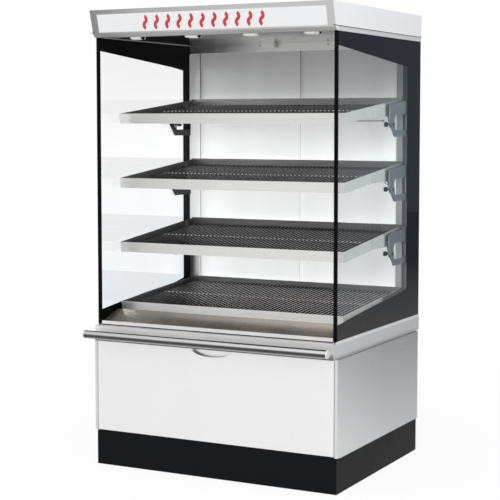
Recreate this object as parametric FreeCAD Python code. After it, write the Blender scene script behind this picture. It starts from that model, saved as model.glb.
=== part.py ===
import FreeCAD, Part
import math
import os

# Heated display case: a tall self-serve food warmer, open at the front.
# A steel base cabinet holds the blowers, the heating elements and the controls.
# Above it stand two side glasses, two rear posts, three tilting shelves and a
# slanted bottom tray. A canopy with a sign closes the top.
# Millimetres, +X to the customer's right, +Y to the back, +Z up.
# Every piece is drawn about the middle of the base cabinet's footprint. Saving moves
# it back, so that the origin is on the floor at the middle of the whole case's box.

os.makedirs("parts", exist_ok=True)

V = FreeCAD.Vector

# Base cabinet
BODY_WIDTH = 1000.0
BODY_DEPTH = 766.0
PLINTH_HEIGHT = 130.0
PLINTH_INSET = 6.0
FLOOR_GAP = 3.0
PANEL_HEIGHT = 346.0
SIDE_THICKNESS = 12.0
PANEL_PROUD = 6.0
SHEET = 2.0
PAN_THICKNESS = 3.0
PLINTH_FLANGE = 30.0
PLAY = 0.5
BITE = 0.5

# Louvres in the rear panel
LOUVRE_WIDTH = 150.0
LOUVRE_HEIGHT = 5.0
LOUVRE_PITCH = 18.0
LOUVRE_ROWS = 7
LOUVRE_UP = 60.0
LOUVRE_COLUMNS = (-330.0, -110.0)

# Front service flap
FLAP_DEPTH = 18.0
FLAP_SHEET = 1.5
FLAP_GAP = 2.0
FLAP_BOTTOM_GAP = 4.0
FLAP_PIN_BACK = 9.0
FLAP_PIN_UP = 7.0
FLAP_PIN_RADIUS = 4.0
RUNNING_CLEARANCE = 0.05
PULL_WIDTH = 160.0
PULL_DEPTH = 27.0
PULL_CUP_FLOOR = 5.0
PULL_CUP_MARGIN = 4.0
FLAP_PIN_REACH = 10.0
CATCH_WIDTH = 30.0
CATCH_HEIGHT = 30.0
CATCH_DEPTH = 13.5
CATCH_DROP = 16.0

# Levelling feet
FOOT_RADIUS = 22.0
FOOT_PAD = 12.0
FOOT_STEM_RADIUS = 6.0
FOOT_INSET_X = 80.0
FOOT_INSET_Y = 73.0

# Counter frame above the base
COUNTER_INSET = 10.5
COUNTER_OVERHANG = 13.0
COUNTER_REAR_OVERHANG = 36.0
COUNTER_HEIGHT = 57.0
COUNTER_FRONT_BEAM = 44.0
COUNTER_SIDE_BEAM = 30.0
COUNTER_REAR_BEAM = 134.0
CHANNEL_LEDGE = 6.0

# Rail in front of the counter
RAIL_RADIUS = 15.0
RAIL_WALL = 2.0
RAIL_SHORT = 2.0
RAIL_OUT = 60.0
RAIL_DROP = 26.0
RAIL_CAP = 6.0
RAIL_STUD_RADIUS = 7.0
RAIL_STUD_DROP = 9.0
RAIL_STUD_SPREAD = 340.0

# Side glasses
GLASS_THICKNESS = 8.0
GLASS_SETBACK = 24.0
GLASS_REAR_INSET = 1.0
CHANNEL_WALL = 2.0
CHANNEL_HEIGHT = 10.0
CHANNEL_FLOOR = 2.0
TRIM_DEPTH = 9.0
TRIM_WALL = 1.5

# Canopy
GLASS_SHOWN = 1071.0
CANOPY_HEIGHT = 99.0
CANOPY_OVERHANG = 1.5
CANOPY_FRONT_OVERHANG = 6.0
CANOPY_CHAMFER = 13.0
CANOPY_CHAMFER_RISE = 12.0
CANOPY_LEAN = 23.0
CANOPY_REAR_INSET = 4.0
CANOPY_LIP = 14.0
CANOPY_FLANGE = 24.0
TOP_CHANNEL_BITE = 8.0
SIGN_SIDE_MARGIN = 29.0
SIGN_MARGIN_LOW = 6.0
SIGN_MARGIN_HIGH = 17.0
SIGN_THICKNESS = 4.0
SIGN_PROUD = 1.0
LIGHT_BOX_DEPTH = 16.0
LIGHT_BOX_SHARE = 0.5
LIGHT_BOX_INSET = 12.0

# Downlights
LIGHT_SPACING = 240.0
LIGHT_SETBACK = 78.0
LIGHT_RADIUS = 33.0
LIGHT_BODY_RADIUS = 27.0
LIGHT_DROP = 7.0
LIGHT_BODY = 34.0
LIGHT_LENS_RADIUS = 22.0
LIGHT_LENS_THICKNESS = 3.0
LIGHT_COUNT = 4
BEZEL_TAPER = 3.0

# Air probe under the ceiling
PROBE_X = -84.0
PROBE_SETBACK = 9.0
PROBE_RADIUS = 6.0
PROBE_FRONT = 14.0
PROBE_BACK = 7.0
PROBE_CLIP = 10.0
PROBE_DROP = 12.0

# Rear posts, columns and doors
POST_SETBACK = 127.0
COLUMN_WIDTH = 43.5
POST_WIDTH = 25.0
POST_DEPTH = 60.0
POST_WALL = 2.0
STRIP_SETBACK = 44.0
STRIP_THICKNESS = 3.0
HEADER_HEIGHT = 32.0
HEADER_DEPTH = 46.0
TRACK_HEIGHT = 20.0
DOOR_THICKNESS = 6.0
DOOR_PITCH = 16.0
DOOR_FIRST = 14.0
DOOR_OVERLAP = 44.0
DOOR_CLEARANCE = 1.0
GROOVE_DEPTH = 16.0
SILL_GROOVE_DEPTH = 10.0
DOOR_HOLE_RADIUS = 16.0
DOOR_HOLE_EDGE = 46.0
SENSOR_SETBACK = 7.0
SENSOR_BELOW = 28.0
SENSOR_SHORT = 54.0
SENSOR_RADIUS = 2.5
SENSOR_TIP_RADIUS = 6.0
SENSOR_TIP = 5.0
SENSOR_CLIP_WIDTH = 12.0
SENSOR_CLIP_HALF = 7.0
SLOT_MARGIN = 40.0

# Shelves
SHELF_COUNT = 3
SHELF_SETBACK = 113.0
TOP_SHELF_DOWN = 279.0
SHELF_PITCH = 243.5
SHELF_TILT = 6.0
SHELF_REAR_GAP = 6.0
SHELF_RIM = 38.0
SHELF_WALL = 2.0
SHELF_LEDGE = 12.0
SHELF_PLATE = 2.0
SHELF_STOP = 4.0

# Wire racks that lie on the plates
RACK_SIDE_GAP = 27.0
RACK_FRONT_GAP = 25.0
RACK_BACK_GAP = 10.0
RACK_DROP = 20.0
TRAY_RACK_DROP = 14.0
RACK_PITCH = 17.3
ROD_RADIUS = 2.5
CROSS_RADIUS = 3.0
CROSS_INSET = 8.0

# Shelf pivots, arms and brackets
PIVOT_SETBACK = 55.0
PIVOT_DROP = 20.0
PIVOT_RADIUS = 5.0
ARM_THICKNESS = 3.0
ARM_FRONT = 255.0
ARM_FRONT_LOW = 16.5
ARM_BELLY_Y = 106.0
ARM_BELLY_LOW = 32.0
ARM_NECK_Y = 20.0
ARM_NECK_LOW = 26.0
ARM_REAR_LOW = 8.0
ARM_LOBE = 13.0
BRACKET_ROOM = 3.5
PIVOT_SPACER = 7.0
BRACKET_THICKNESS = 3.0
BRACKET_BOTTOM = 119.0
BRACKET_FRONT = 112.0
BRACKET_RISE = 17.0
BRACKET_WAIST = 70.0
BRACKET_WAIST_BACK = 3.0
BRACKET_FOOT_BACK = 47.0
BRACKET_TOP_FRONT = 50.0
BRACKET_CORNER = 5.0
HOOK_UP = 12.0
SLOTS_PER_PITCH = 8
SLOT_HEIGHT = 13.0
SLOT_CLEARANCE = 0.3
HOOK_REACH = 4.0
HOOK_DROP = 6.0
KNOB_BACK = 75.0
KNOB_DOWN = 73.0
KNOB_RADIUS = 9.0
KNOB_LENGTH = 11.0
KNOB_SHANK = 3.0
KNOB_OUT = 22.0
KNOB_WASHER = 6.0
KNOB_WASHER_THICKNESS = 1.2
KNOB_GRIPS = 10
KNOB_GRIP_RADIUS = 1.8
KNOB_GRIP_OUT = 0.9
TILT_TRAVEL = 6.0
WINDOW_TOP = 34.0
WINDOW_BOTTOM = 95.0
WINDOW_TOP_FRONT = 70.0
WINDOW_LOW_FRONT = 52.0
WINDOW_BACK = 58.0
WINDOW_CORNER = 7.0
BOLT_GAP = 0.3
BOLT_HEAD = 4.0
BOLT_HEAD_RATIO = 1.8

# Bottom tray
TRAY_RISE = 78.0
TRAY_TILT = 4.3
TRAY_RIM = 30.0
TRAY_SUPPORT_WIDTH = 14.0
TRAY_SUPPORT_SHORT = 10.0

# Front deck
LIP_SETBACK = 2.0
LIP_DEPTH = 10.0
LIP_HEIGHT = 16.0
DECK_SHEET = 2.0

# Hot air system
PLENUM_FLOOR = 30.0
PLENUM_SETBACK = 20.0
BLOWER_X = 0.0
BLOWER_Y = -20.0
MOTOR_RADIUS = 45.0
MOTOR_HEIGHT = 60.0
SHAFT_RADIUS = 4.0
SHAFT_RISE = 36.0
SHAFT_HOLE_RATIO = 3.0
SHAFT_BLIND = 14.0
WHEEL_RADIUS = 75.0
WHEEL_GAP = 6.0
WHEEL_HEIGHT = 32.0
WHEEL_BLADES = 16
WHEEL_RING_WIDTH = 16.0
BLADE_INNER = 24.0
BLADE_OUTER = 1.0
BLADE_THICKNESS = 1.6
BLADE_ANGLE = 25.0
HUB_RATIO = 2.4
HUB_SHARE = 0.7
HEATER_RADIUS = 4.2
HEATER_RISE = 26.0
HEATER_SIDE_ROOM = 59.5
HEATER_SPREAD = 40.0
HEATER_BEFORE = 170.0
HEATER_BEHIND = 130.0
HEATER_BLOCK = 14.0
HEATER_MARGIN = 9.0
HEATER_STAND = 3.0
HEATER_STANDS = (-0.4, 0.6)

# Controls at the back
CONTROL_INSET = 200.0
CONTROL_WIDTH = 220.0
CONTROL_HEIGHT = 110.0
CONTROL_DROP = 86.0
CONTROL_PLATE = 3.0
DIAL_RADIUS = 19.0
DIAL_HEIGHT = 16.0
DIAL_EDGE = 2.0
POINTER_WIDTH = 2.4
POINTER_RISE = 1.0
POINTER_MARGIN = 3.0
PLATE_CORNER = 6.0
BEZEL_RIM = 3.0
BEZEL_HEIGHT = 6.0
BEZEL_FLOOR = 1.0
SPINDLE_RADIUS = 3.0
ROCKER_WIDTH = 22.0
ROCKER_HEIGHT = 30.0
SPINDLE_ROOM = 2.0
SPINDLE_DEPTH = 24.0
DIAL_LEFT = 60.0
ROCKER_RIGHT = 50.0
ROCKER_TIP = 8.0
ROCKER_PLAY = 1.5
ROCKER_PIVOT = 4.0
PIN_RADIUS = 1.5
PIN_BITE = 1.5
ROCKER_HEEL = 3.0
ROCKER_CREST = 4.5
ROCKER_DIP = 2.5
ELECTRICS_DEPTH = 110.0
ELECTRICS_CORNER = 4.0
GLAND_UP = 40.0
GLAND_LENGTH = 22.0
GLAND_NUT = 8.0
GLAND_NUT_RIM = 4.0
GLAND_RADIUS = 12.0
GLAND_BORE = 5.0

# Heights that follow from these sizes
BODY_TOP = PLINTH_HEIGHT + PANEL_HEIGHT
COUNTER_TOP = BODY_TOP + COUNTER_HEIGHT
CANOPY_BOTTOM = COUNTER_TOP + GLASS_SHOWN
CANOPY_TOP = CANOPY_BOTTOM + CANOPY_HEIGHT
FLOOR_TOP = PLINTH_HEIGHT + PAN_THICKNESS
CHANNEL_BASE = COUNTER_TOP - CHANNEL_LEDGE
GLASS_BOTTOM = CHANNEL_BASE + CHANNEL_FLOOR
CEILING = CANOPY_BOTTOM + SHEET
PLENUM_BOTTOM = BODY_TOP - PLENUM_FLOOR
RAIL_HEIGHT = COUNTER_TOP - RAIL_DROP
SHELF_TOP = CANOPY_BOTTOM - TOP_SHELF_DOWN
TRAY_TOP = COUNTER_TOP + TRAY_RISE
CONTROL_Z = BODY_TOP - CONTROL_DROP

# Widths
HALF_BODY = BODY_WIDTH / 2
SIDE_INNER = HALF_BODY - SIDE_THICKNESS
HALF_COUNTER = HALF_BODY - COUNTER_INSET
COUNTER_INNER = HALF_COUNTER - COUNTER_SIDE_BEAM
RAIL_HALF = HALF_BODY - RAIL_SHORT
GLASS_OUTER = HALF_COUNTER - CHANNEL_WALL
GLASS_INNER = GLASS_OUTER - GLASS_THICKNESS
CHANNEL_INNER = GLASS_INNER - CHANNEL_WALL
CANOPY_HALF = HALF_COUNTER + CANOPY_OVERHANG
SIGN_HALF = CANOPY_HALF - SIGN_SIDE_MARGIN
POST_INNER = CHANNEL_INNER - COLUMN_WIDTH
BRACKET_X = GLASS_INNER - BRACKET_ROOM - BRACKET_THICKNESS
SHELF_HALF = BRACKET_X - PIVOT_SPACER - ARM_THICKNESS
TRAY_HALF = COUNTER_INNER - PLAY
RACK_HALF = TRAY_HALF - RACK_SIDE_GAP
KNOB_INNER = SHELF_HALF - KNOB_OUT
HEATER_HALF = COUNTER_INNER - HEATER_SIDE_ROOM
CONTROL_X = HALF_BODY - CONTROL_INSET
DIAL_X = CONTROL_X - DIAL_LEFT
ROCKER_X = CONTROL_X + ROCKER_RIGHT

# Depths
BODY_BACK = BODY_DEPTH / 2
PLINTH_FRONT = -BODY_BACK
BODY_FRONT = PLINTH_FRONT - PANEL_PROUD
COUNTER_FRONT = BODY_FRONT - COUNTER_OVERHANG
COUNTER_BACK = BODY_BACK + COUNTER_REAR_OVERHANG
COUNTER_OPENING_BACK = COUNTER_BACK - COUNTER_REAR_BEAM
GLASS_FRONT = COUNTER_FRONT + GLASS_SETBACK
GLASS_BACK = COUNTER_BACK - GLASS_REAR_INSET
CANOPY_FRONT = GLASS_FRONT - CANOPY_FRONT_OVERHANG
CANOPY_BACK = COUNTER_BACK - CANOPY_REAR_INSET
LIGHT_Y = GLASS_FRONT + LIGHT_SETBACK
LIP_FRONT = GLASS_FRONT + LIP_SETBACK
POST_FACE = GLASS_BACK - POST_SETBACK
SHELF_FRONT = GLASS_FRONT + SHELF_SETBACK
SHELF_BACK = POST_FACE - SHELF_REAR_GAP
PIVOT_Y = SHELF_BACK - PIVOT_SETBACK
TRAY_FRONT = SHELF_FRONT
HEATER_FRONT_Y = BLOWER_Y - HEATER_BEFORE
HEATER_REAR_Y = BLOWER_Y + HEATER_BEHIND
BOX_MIDDLE_Y = (COUNTER_BACK + COUNTER_FRONT - RAIL_OUT - RAIL_RADIUS) / 2


def box(x0, y0, z0, x1, y1, z1):
    """A block between two corners."""
    return Part.makeBox(x1 - x0, y1 - y0, z1 - z0, V(x0, y0, z0))


def side_prism(points, x0, x1):
    """A (y, z) outline drawn out along X."""
    wire = Part.makePolygon([V(x0, y, z) for y, z in points + points[:1]])
    return Part.Face(wire).extrude(V(x1 - x0, 0, 0))


def rod_x(y, z, radius, x0, x1):
    return Part.makeCylinder(radius, x1 - x0, V(x0, y, z), V(1, 0, 0))


def rod_y(x, z, radius, y0, y1):
    return Part.makeCylinder(radius, y1 - y0, V(x, y0, z), V(0, 1, 0))


def rod_z(x, y, radius, z0, z1):
    return Part.makeCylinder(radius, z1 - z0, V(x, y, z0), V(0, 0, 1))


def mirror(shape):
    """The same piece on the other side of the middle plane."""
    return shape.mirror(V(0, 0, 0), V(1, 0, 0))


def both_sides(shape):
    return [shape, mirror(shape)]


def soften(shape, radius, keep):
    """Round the edges that the test picks."""
    edges = [e for e in shape.Edges if keep(e)]
    return shape.makeFillet(radius, edges)


def vertical(edge):
    ends = edge.Vertexes
    return len(ends) == 2 and abs(ends[0].Z - ends[1].Z) > 1 and abs(ends[0].X - ends[1].X) < 0.01 \
        and abs(ends[0].Y - ends[1].Y) < 0.01


def save(name, *solids):
    """One file for each named piece, or for a group of identical pieces."""
    shape = solids[0].copy() if len(solids) == 1 else Part.makeCompound(list(solids))
    shape.translate(V(0, -BOX_MIDDLE_Y, 0))
    shape.exportStep("parts/" + name + ".step")
    print(name, len(shape.Solids), round(shape.Volume / 1000, 1), "cm3")


def base_cabinet():
    """Plinth, feet, floor pan, side panels and rear panel."""
    half = HALF_BODY - PLINTH_INSET
    outer = box(-half, PLINTH_FRONT, FLOOR_GAP, half, BODY_BACK, PLINTH_HEIGHT)
    inner = box(-half + SHEET, PLINTH_FRONT + SHEET, 0, half - SHEET, BODY_BACK - SHEET,
                PLINTH_HEIGHT - SHEET)
    hole = box(-half + PLINTH_FLANGE, PLINTH_FRONT + PLINTH_FLANGE, 0, half - PLINTH_FLANGE,
               BODY_BACK - PLINTH_FLANGE, PLINTH_HEIGHT + 1)
    save("plinth", outer.cut(inner).cut(hole))

    feet = []
    for sx in (-1, 1):
        for sy in (-1, 1):
            x = sx * (HALF_BODY - FOOT_INSET_X)
            y = sy * (BODY_BACK - FOOT_INSET_Y)
            pad = Part.makeCone(FOOT_RADIUS, FOOT_STEM_RADIUS * 1.5, FOOT_PAD, V(x, y, 0))
            stem = rod_z(x, y, FOOT_STEM_RADIUS, FOOT_PAD, PLINTH_HEIGHT)
            nut = rod_z(x, y, FOOT_STEM_RADIUS * 2, PLINTH_HEIGHT - FOOT_PAD, PLINTH_HEIGHT)
            feet.append(pad.fuse(stem).fuse(nut).removeSplitter())
    save("levelling_feet", *feet)

    save("floor_pan", box(-HALF_BODY, BODY_FRONT + FLAP_DEPTH + FLAP_BOTTOM_GAP, PLINTH_HEIGHT,
                          HALF_BODY, BODY_BACK, FLOOR_TOP))

    side = box(SIDE_INNER, BODY_FRONT, FLOOR_TOP, HALF_BODY, BODY_BACK, BODY_TOP)
    pin_bore = rod_x(flap_pin_y(), flap_pin_z(), FLAP_PIN_RADIUS, SIDE_INNER - 1,
                     SIDE_INNER + SIDE_THICKNESS / 2)
    side = soften(side, SHEET, lambda e: vertical(e) and e.CenterOfMass.x > HALF_BODY - 1)
    side = side.cut(pin_bore)
    save("side_panels", *both_sides(side))

    rear = box(-SIDE_INNER, BODY_BACK - SHEET, FLOOR_TOP, SIDE_INNER, BODY_BACK, BODY_TOP)
    for column in LOUVRE_COLUMNS:
        for row in range(LOUVRE_ROWS):
            z = FLOOR_TOP + LOUVRE_UP + row * LOUVRE_PITCH
            rear = rear.cut(box(column - LOUVRE_WIDTH / 2, BODY_BACK - SHEET - 1, z,
                                column + LOUVRE_WIDTH / 2, BODY_BACK + 1, z + LOUVRE_HEIGHT))
    rear = rear.cut(rod_y(DIAL_X, CONTROL_Z, SPINDLE_RADIUS + SPINDLE_ROOM, BODY_BACK - SHEET - 1,
                          BODY_BACK + 1))
    rear = rear.cut(rod_y(CONTROL_X, gland_z(), GLAND_RADIUS, BODY_BACK - SHEET - 1, BODY_BACK + 1))
    save("rear_panel", rear)


def flap_pin_y():
    return BODY_FRONT + FLAP_PIN_BACK


def flap_pin_z():
    return FLOOR_TOP + FLAP_BOTTOM_GAP + FLAP_PIN_UP


def gland_z():
    return FLOOR_TOP + GLAND_UP


def front_flap():
    """Service flap with its finger notch and cup, pins and catches."""
    half = SIDE_INNER - FLAP_GAP
    bottom = FLOOR_TOP + FLAP_BOTTOM_GAP
    top = BODY_TOP - FLAP_SHEET
    back = BODY_FRONT + FLAP_DEPTH
    flap = box(-half, BODY_FRONT, bottom, half, back, top)
    flap = flap.cut(box(-half + FLAP_SHEET, BODY_FRONT + FLAP_SHEET, bottom + FLAP_SHEET,
                        half - FLAP_SHEET, back + 1, top - FLAP_SHEET))
    cup_half = PULL_WIDTH / 2 + PULL_CUP_MARGIN
    cup_floor = top - PULL_DEPTH - PULL_CUP_FLOOR
    cup_front = BODY_FRONT + FLAP_SHEET
    # The notch is half an ellipse in the top edge of the skin.
    notch = Part.makeCylinder(PULL_WIDTH / 2, FLAP_SHEET + 2, V(0, BODY_FRONT - 1, 0), V(0, 1, 0))
    squash = FreeCAD.Matrix()
    squash.scale(1.0, 1.0, PULL_DEPTH / (PULL_WIDTH / 2))
    notch = notch.transformGeometry(squash)
    notch.translate(V(0, 0, top))
    flap = flap.cut(notch)
    flap = flap.cut(box(-cup_half, cup_front, top - FLAP_SHEET - 1, cup_half, back - FLAP_SHEET,
                        top + 1))
    for sx in (-1, 1):
        flap = flap.cut(rod_x(flap_pin_y(), flap_pin_z(), FLAP_PIN_RADIUS + RUNNING_CLEARANCE,
                              sx * half - 2 * FLAP_SHEET, sx * half + 2 * FLAP_SHEET))
    cup = box(-cup_half, cup_front, cup_floor, cup_half, back - FLAP_SHEET, top)
    cup = cup.cut(box(-cup_half + SHEET, cup_front - 1, cup_floor + SHEET, cup_half - SHEET,
                      back - FLAP_SHEET - SHEET, top + 1))
    save("front_flap", flap.fuse(cup).removeSplitter())

    pin = rod_x(flap_pin_y(), flap_pin_z(), FLAP_PIN_RADIUS, half - FLAP_PIN_REACH,
                SIDE_INNER + SIDE_THICKNESS / 2)
    save("flap_hinge_pins", *both_sides(pin))

    catch_top = BODY_TOP - CATCH_DROP
    catch = box(SIDE_INNER - CATCH_WIDTH, back + PLAY, catch_top - CATCH_HEIGHT, SIDE_INNER,
                back + PLAY + CATCH_DEPTH, catch_top)
    save("flap_catches", *both_sides(catch))


def counter():
    """Hollow beam frame round the display floor, with the rail on its front."""
    ring = box(-HALF_COUNTER, COUNTER_FRONT, BODY_TOP, HALF_COUNTER, COUNTER_BACK, COUNTER_TOP)
    opening_front = COUNTER_FRONT + COUNTER_FRONT_BEAM
    core = box(-COUNTER_INNER - SHEET, opening_front - SHEET, BODY_TOP - 1, COUNTER_INNER + SHEET,
               COUNTER_OPENING_BACK + SHEET, COUNTER_TOP + 1)
    opening = box(-COUNTER_INNER, opening_front, BODY_TOP - 2, COUNTER_INNER, COUNTER_OPENING_BACK,
                  COUNTER_TOP + 2)
    hollow = box(-HALF_COUNTER + SHEET, COUNTER_FRONT + SHEET, BODY_TOP - 1,
                 HALF_COUNTER - SHEET, COUNTER_BACK - SHEET, CHANNEL_BASE - SHEET)
    raised = box(-CHANNEL_INNER + SHEET, COUNTER_FRONT + SHEET, BODY_TOP - 1,
                 CHANNEL_INNER - SHEET, COUNTER_BACK - SHEET, COUNTER_TOP - SHEET)
    frame = ring.cut(hollow.fuse(raised).cut(core)).cut(opening)
    for sx in (-1, 1):
        x0, x1 = sorted((sx * CHANNEL_INNER, sx * (HALF_COUNTER + 1)))
        frame = frame.cut(box(x0, GLASS_FRONT - TRIM_WALL, CHANNEL_BASE, x1, COUNTER_BACK + 1,
                              COUNTER_TOP + 1))
    save("counter_frame", frame)

    rail_y = COUNTER_FRONT - RAIL_OUT
    half = RAIL_HALF - RAIL_CAP
    tube = rod_x(rail_y, RAIL_HEIGHT, RAIL_RADIUS, -half, half)
    tube = tube.cut(rod_x(rail_y, RAIL_HEIGHT, RAIL_RADIUS - RAIL_WALL, -half - 1, half + 1))
    save("rail_tube", tube)
    cap = rod_x(rail_y, RAIL_HEIGHT, RAIL_RADIUS, half, half + RAIL_CAP)
    cap = soften(cap, RAIL_CAP * 0.6, lambda e: e.CenterOfMass.x > half + RAIL_CAP - 0.1
                 and len(e.Vertexes) == 1)
    save("rail_end_caps", *both_sides(cap))
    studs = []
    stud_z = RAIL_HEIGHT - RAIL_STUD_DROP
    for x in (-RAIL_STUD_SPREAD, 0.0, RAIL_STUD_SPREAD):
        stud = rod_y(x, stud_z, RAIL_STUD_RADIUS, rail_y, COUNTER_FRONT)
        stud = stud.cut(rod_x(rail_y, RAIL_HEIGHT, RAIL_RADIUS, x - 2 * RAIL_STUD_RADIUS,
                              x + 2 * RAIL_STUD_RADIUS))
        studs.append(stud)
    save("rail_studs", *studs)


def side_glasses():
    """Glass sheets, their channels and front edge trims."""
    glass_top = CANOPY_BOTTOM + TOP_CHANNEL_BITE
    glass = box(GLASS_INNER, GLASS_FRONT, GLASS_BOTTOM, GLASS_OUTER, GLASS_BACK, glass_top)
    save("side_glasses", *both_sides(glass))

    outer = GLASS_OUTER + CHANNEL_WALL
    low = box(CHANNEL_INNER, GLASS_FRONT, CHANNEL_BASE, outer, GLASS_BACK,
              CHANNEL_BASE + CHANNEL_HEIGHT)
    low = low.cut(box(GLASS_INNER, GLASS_FRONT - 1, GLASS_BOTTOM, GLASS_OUTER, GLASS_BACK + 1,
                      CHANNEL_BASE + CHANNEL_HEIGHT + 1))
    high = box(CHANNEL_INNER, GLASS_FRONT, CANOPY_BOTTOM, outer, CANOPY_BACK,
               CANOPY_BOTTOM + CANOPY_LIP)
    high = high.cut(box(GLASS_INNER, GLASS_FRONT - 1, CANOPY_BOTTOM - 1, GLASS_OUTER,
                        GLASS_BACK + 1, glass_top))
    save("glass_channels", *both_sides(low), *both_sides(high))

    low_end = CHANNEL_BASE + CHANNEL_HEIGHT
    trim = box(GLASS_INNER - TRIM_WALL, GLASS_FRONT - TRIM_WALL, low_end,
               GLASS_OUTER + TRIM_WALL, GLASS_FRONT + TRIM_DEPTH, CANOPY_BOTTOM)
    trim = trim.cut(box(GLASS_INNER, GLASS_FRONT, low_end - 1, GLASS_OUTER,
                        GLASS_FRONT + TRIM_DEPTH + 1, CANOPY_BOTTOM + 1))
    save("glass_edge_trims", *both_sides(trim))


def canopy_outline(inset):
    """The canopy's side outline, moved inwards by a wall."""
    lean = CANOPY_LEAN / (CANOPY_TOP - CANOPY_BOTTOM - CANOPY_CHAMFER_RISE)
    face_foot_y = CANOPY_FRONT - CANOPY_CHAMFER
    face_foot_z = CANOPY_BOTTOM + CANOPY_CHAMFER_RISE
    slant = inset * math.hypot(1.0, lean)
    chamfer_slope = CANOPY_CHAMFER_RISE / CANOPY_CHAMFER
    chamfer_shift = inset * math.hypot(1.0, chamfer_slope) / chamfer_slope
    # The inner chamfer meets the inner leaning face.
    offset = (chamfer_shift - slant) / (1.0 / chamfer_slope - lean)
    top = CANOPY_TOP - inset
    front_top_y = face_foot_y + slant - lean * (top - face_foot_z)
    return [
        (CANOPY_FRONT + chamfer_shift, CANOPY_BOTTOM),
        (face_foot_y + slant - lean * offset, face_foot_z + offset),
        (front_top_y, top),
        (CANOPY_BACK - inset, top),
        (CANOPY_BACK - inset, CANOPY_BOTTOM),
    ]


def canopy():
    """Canopy shell, sign, ceiling, lights and what stands on the ceiling."""
    shell = side_prism(canopy_outline(0.0), -CANOPY_HALF, CANOPY_HALF)
    inside = side_prism(canopy_outline(SHEET), -CANOPY_HALF + SHEET, CANOPY_HALF - SHEET)
    shell = shell.cut(inside)
    for sx in (-1, 1):
        x0, x1 = sorted((sx * CHANNEL_INNER, sx * (CANOPY_HALF + 1)))
        shell = shell.cut(box(x0, GLASS_FRONT, CANOPY_BOTTOM - 1, x1, CANOPY_BACK + 1,
                              CANOPY_BOTTOM + CANOPY_LIP))
    inner = canopy_outline(SHEET)
    flange = side_prism([inner[0], (inner[0][0] + CANOPY_FLANGE, CANOPY_BOTTOM),
                         (inner[0][0] + CANOPY_FLANGE, CEILING),
                         (inner[0][0] - SHEET * CANOPY_CHAMFER / CANOPY_CHAMFER_RISE, CEILING)],
                        -CHANNEL_INNER, CHANNEL_INNER)
    shell = shell.fuse(flange)

    outline = canopy_outline(0.0)
    foot = V(0, outline[1][0], outline[1][1])
    rise = V(0, outline[2][0], outline[2][1]).sub(foot)
    along = V(rise).normalize()
    inward = V(0, along.z, -along.y)
    sign_length = rise.Length - SIGN_MARGIN_LOW - SIGN_MARGIN_HIGH
    low = foot + along * SIGN_MARGIN_LOW
    high = low + along * sign_length
    front = inward * -SIGN_PROUD
    back = inward * (SIGN_THICKNESS - SIGN_PROUD)
    corners = [low + front, high + front, high + back, low + back]
    sign = side_prism([(p.y, p.z) for p in corners], -SIGN_HALF, SIGN_HALF)
    shell = shell.cut(sign)
    save("canopy_shell", shell)
    save("sign_panel", sign)

    lamp_front = inward * (SIGN_THICKNESS - SIGN_PROUD)
    lamp_low = low + lamp_front
    lamp_high = lamp_low + along * (sign_length * LIGHT_BOX_SHARE)
    lamp_points = [lamp_low, lamp_high, lamp_high + inward * LIGHT_BOX_DEPTH,
                   lamp_low + inward * LIGHT_BOX_DEPTH]
    lamp_end = SIGN_HALF - LIGHT_BOX_INSET
    save("sign_light_box", side_prism([(p.y, p.z) for p in lamp_points], -lamp_end, lamp_end))

    ceiling = box(-CHANNEL_INNER, inner[0][0] + SHEET, CEILING, CHANNEL_INNER,
                  CANOPY_BACK - SHEET, CEILING + SHEET)
    rings = []
    lenses = []
    for index in range(LIGHT_COUNT):
        x = (index - (LIGHT_COUNT - 1) / 2) * LIGHT_SPACING
        ceiling = ceiling.cut(rod_z(x, LIGHT_Y, LIGHT_BODY_RADIUS, CEILING - 1, CEILING + SHEET + 1))
        bezel = Part.makeCone(LIGHT_RADIUS - BEZEL_TAPER, LIGHT_RADIUS, LIGHT_DROP,
                              V(x, LIGHT_Y, CEILING - LIGHT_DROP))
        can = rod_z(x, LIGHT_Y, LIGHT_BODY_RADIUS, CEILING, CEILING + LIGHT_BODY)
        well = rod_z(x, LIGHT_Y, LIGHT_LENS_RADIUS, CEILING - LIGHT_DROP - 1,
                     CEILING + LIGHT_BODY - SHEET)
        rings.append(bezel.fuse(can).cut(well))
        lens_low = CEILING - LIGHT_DROP + SHEET
        lenses.append(rod_z(x, LIGHT_Y, LIGHT_LENS_RADIUS, lens_low,
                            lens_low + LIGHT_LENS_THICKNESS))
    save("ceiling_panel", ceiling)
    save("downlight_rings", *rings)
    save("downlight_lenses", *lenses)

    probe_y = POST_FACE - PROBE_SETBACK
    clip = box(PROBE_X, probe_y - PROBE_FRONT - SHEET, CEILING - PROBE_CLIP, PROBE_X + PROBE_CLIP,
               probe_y + PROBE_BACK, CEILING)
    bulb = rod_y(PROBE_X + PROBE_CLIP / 2, CEILING - PROBE_DROP, PROBE_RADIUS,
                 probe_y - PROBE_FRONT, probe_y + PROBE_BACK)
    save("air_probe", clip.fuse(bulb))


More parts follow.
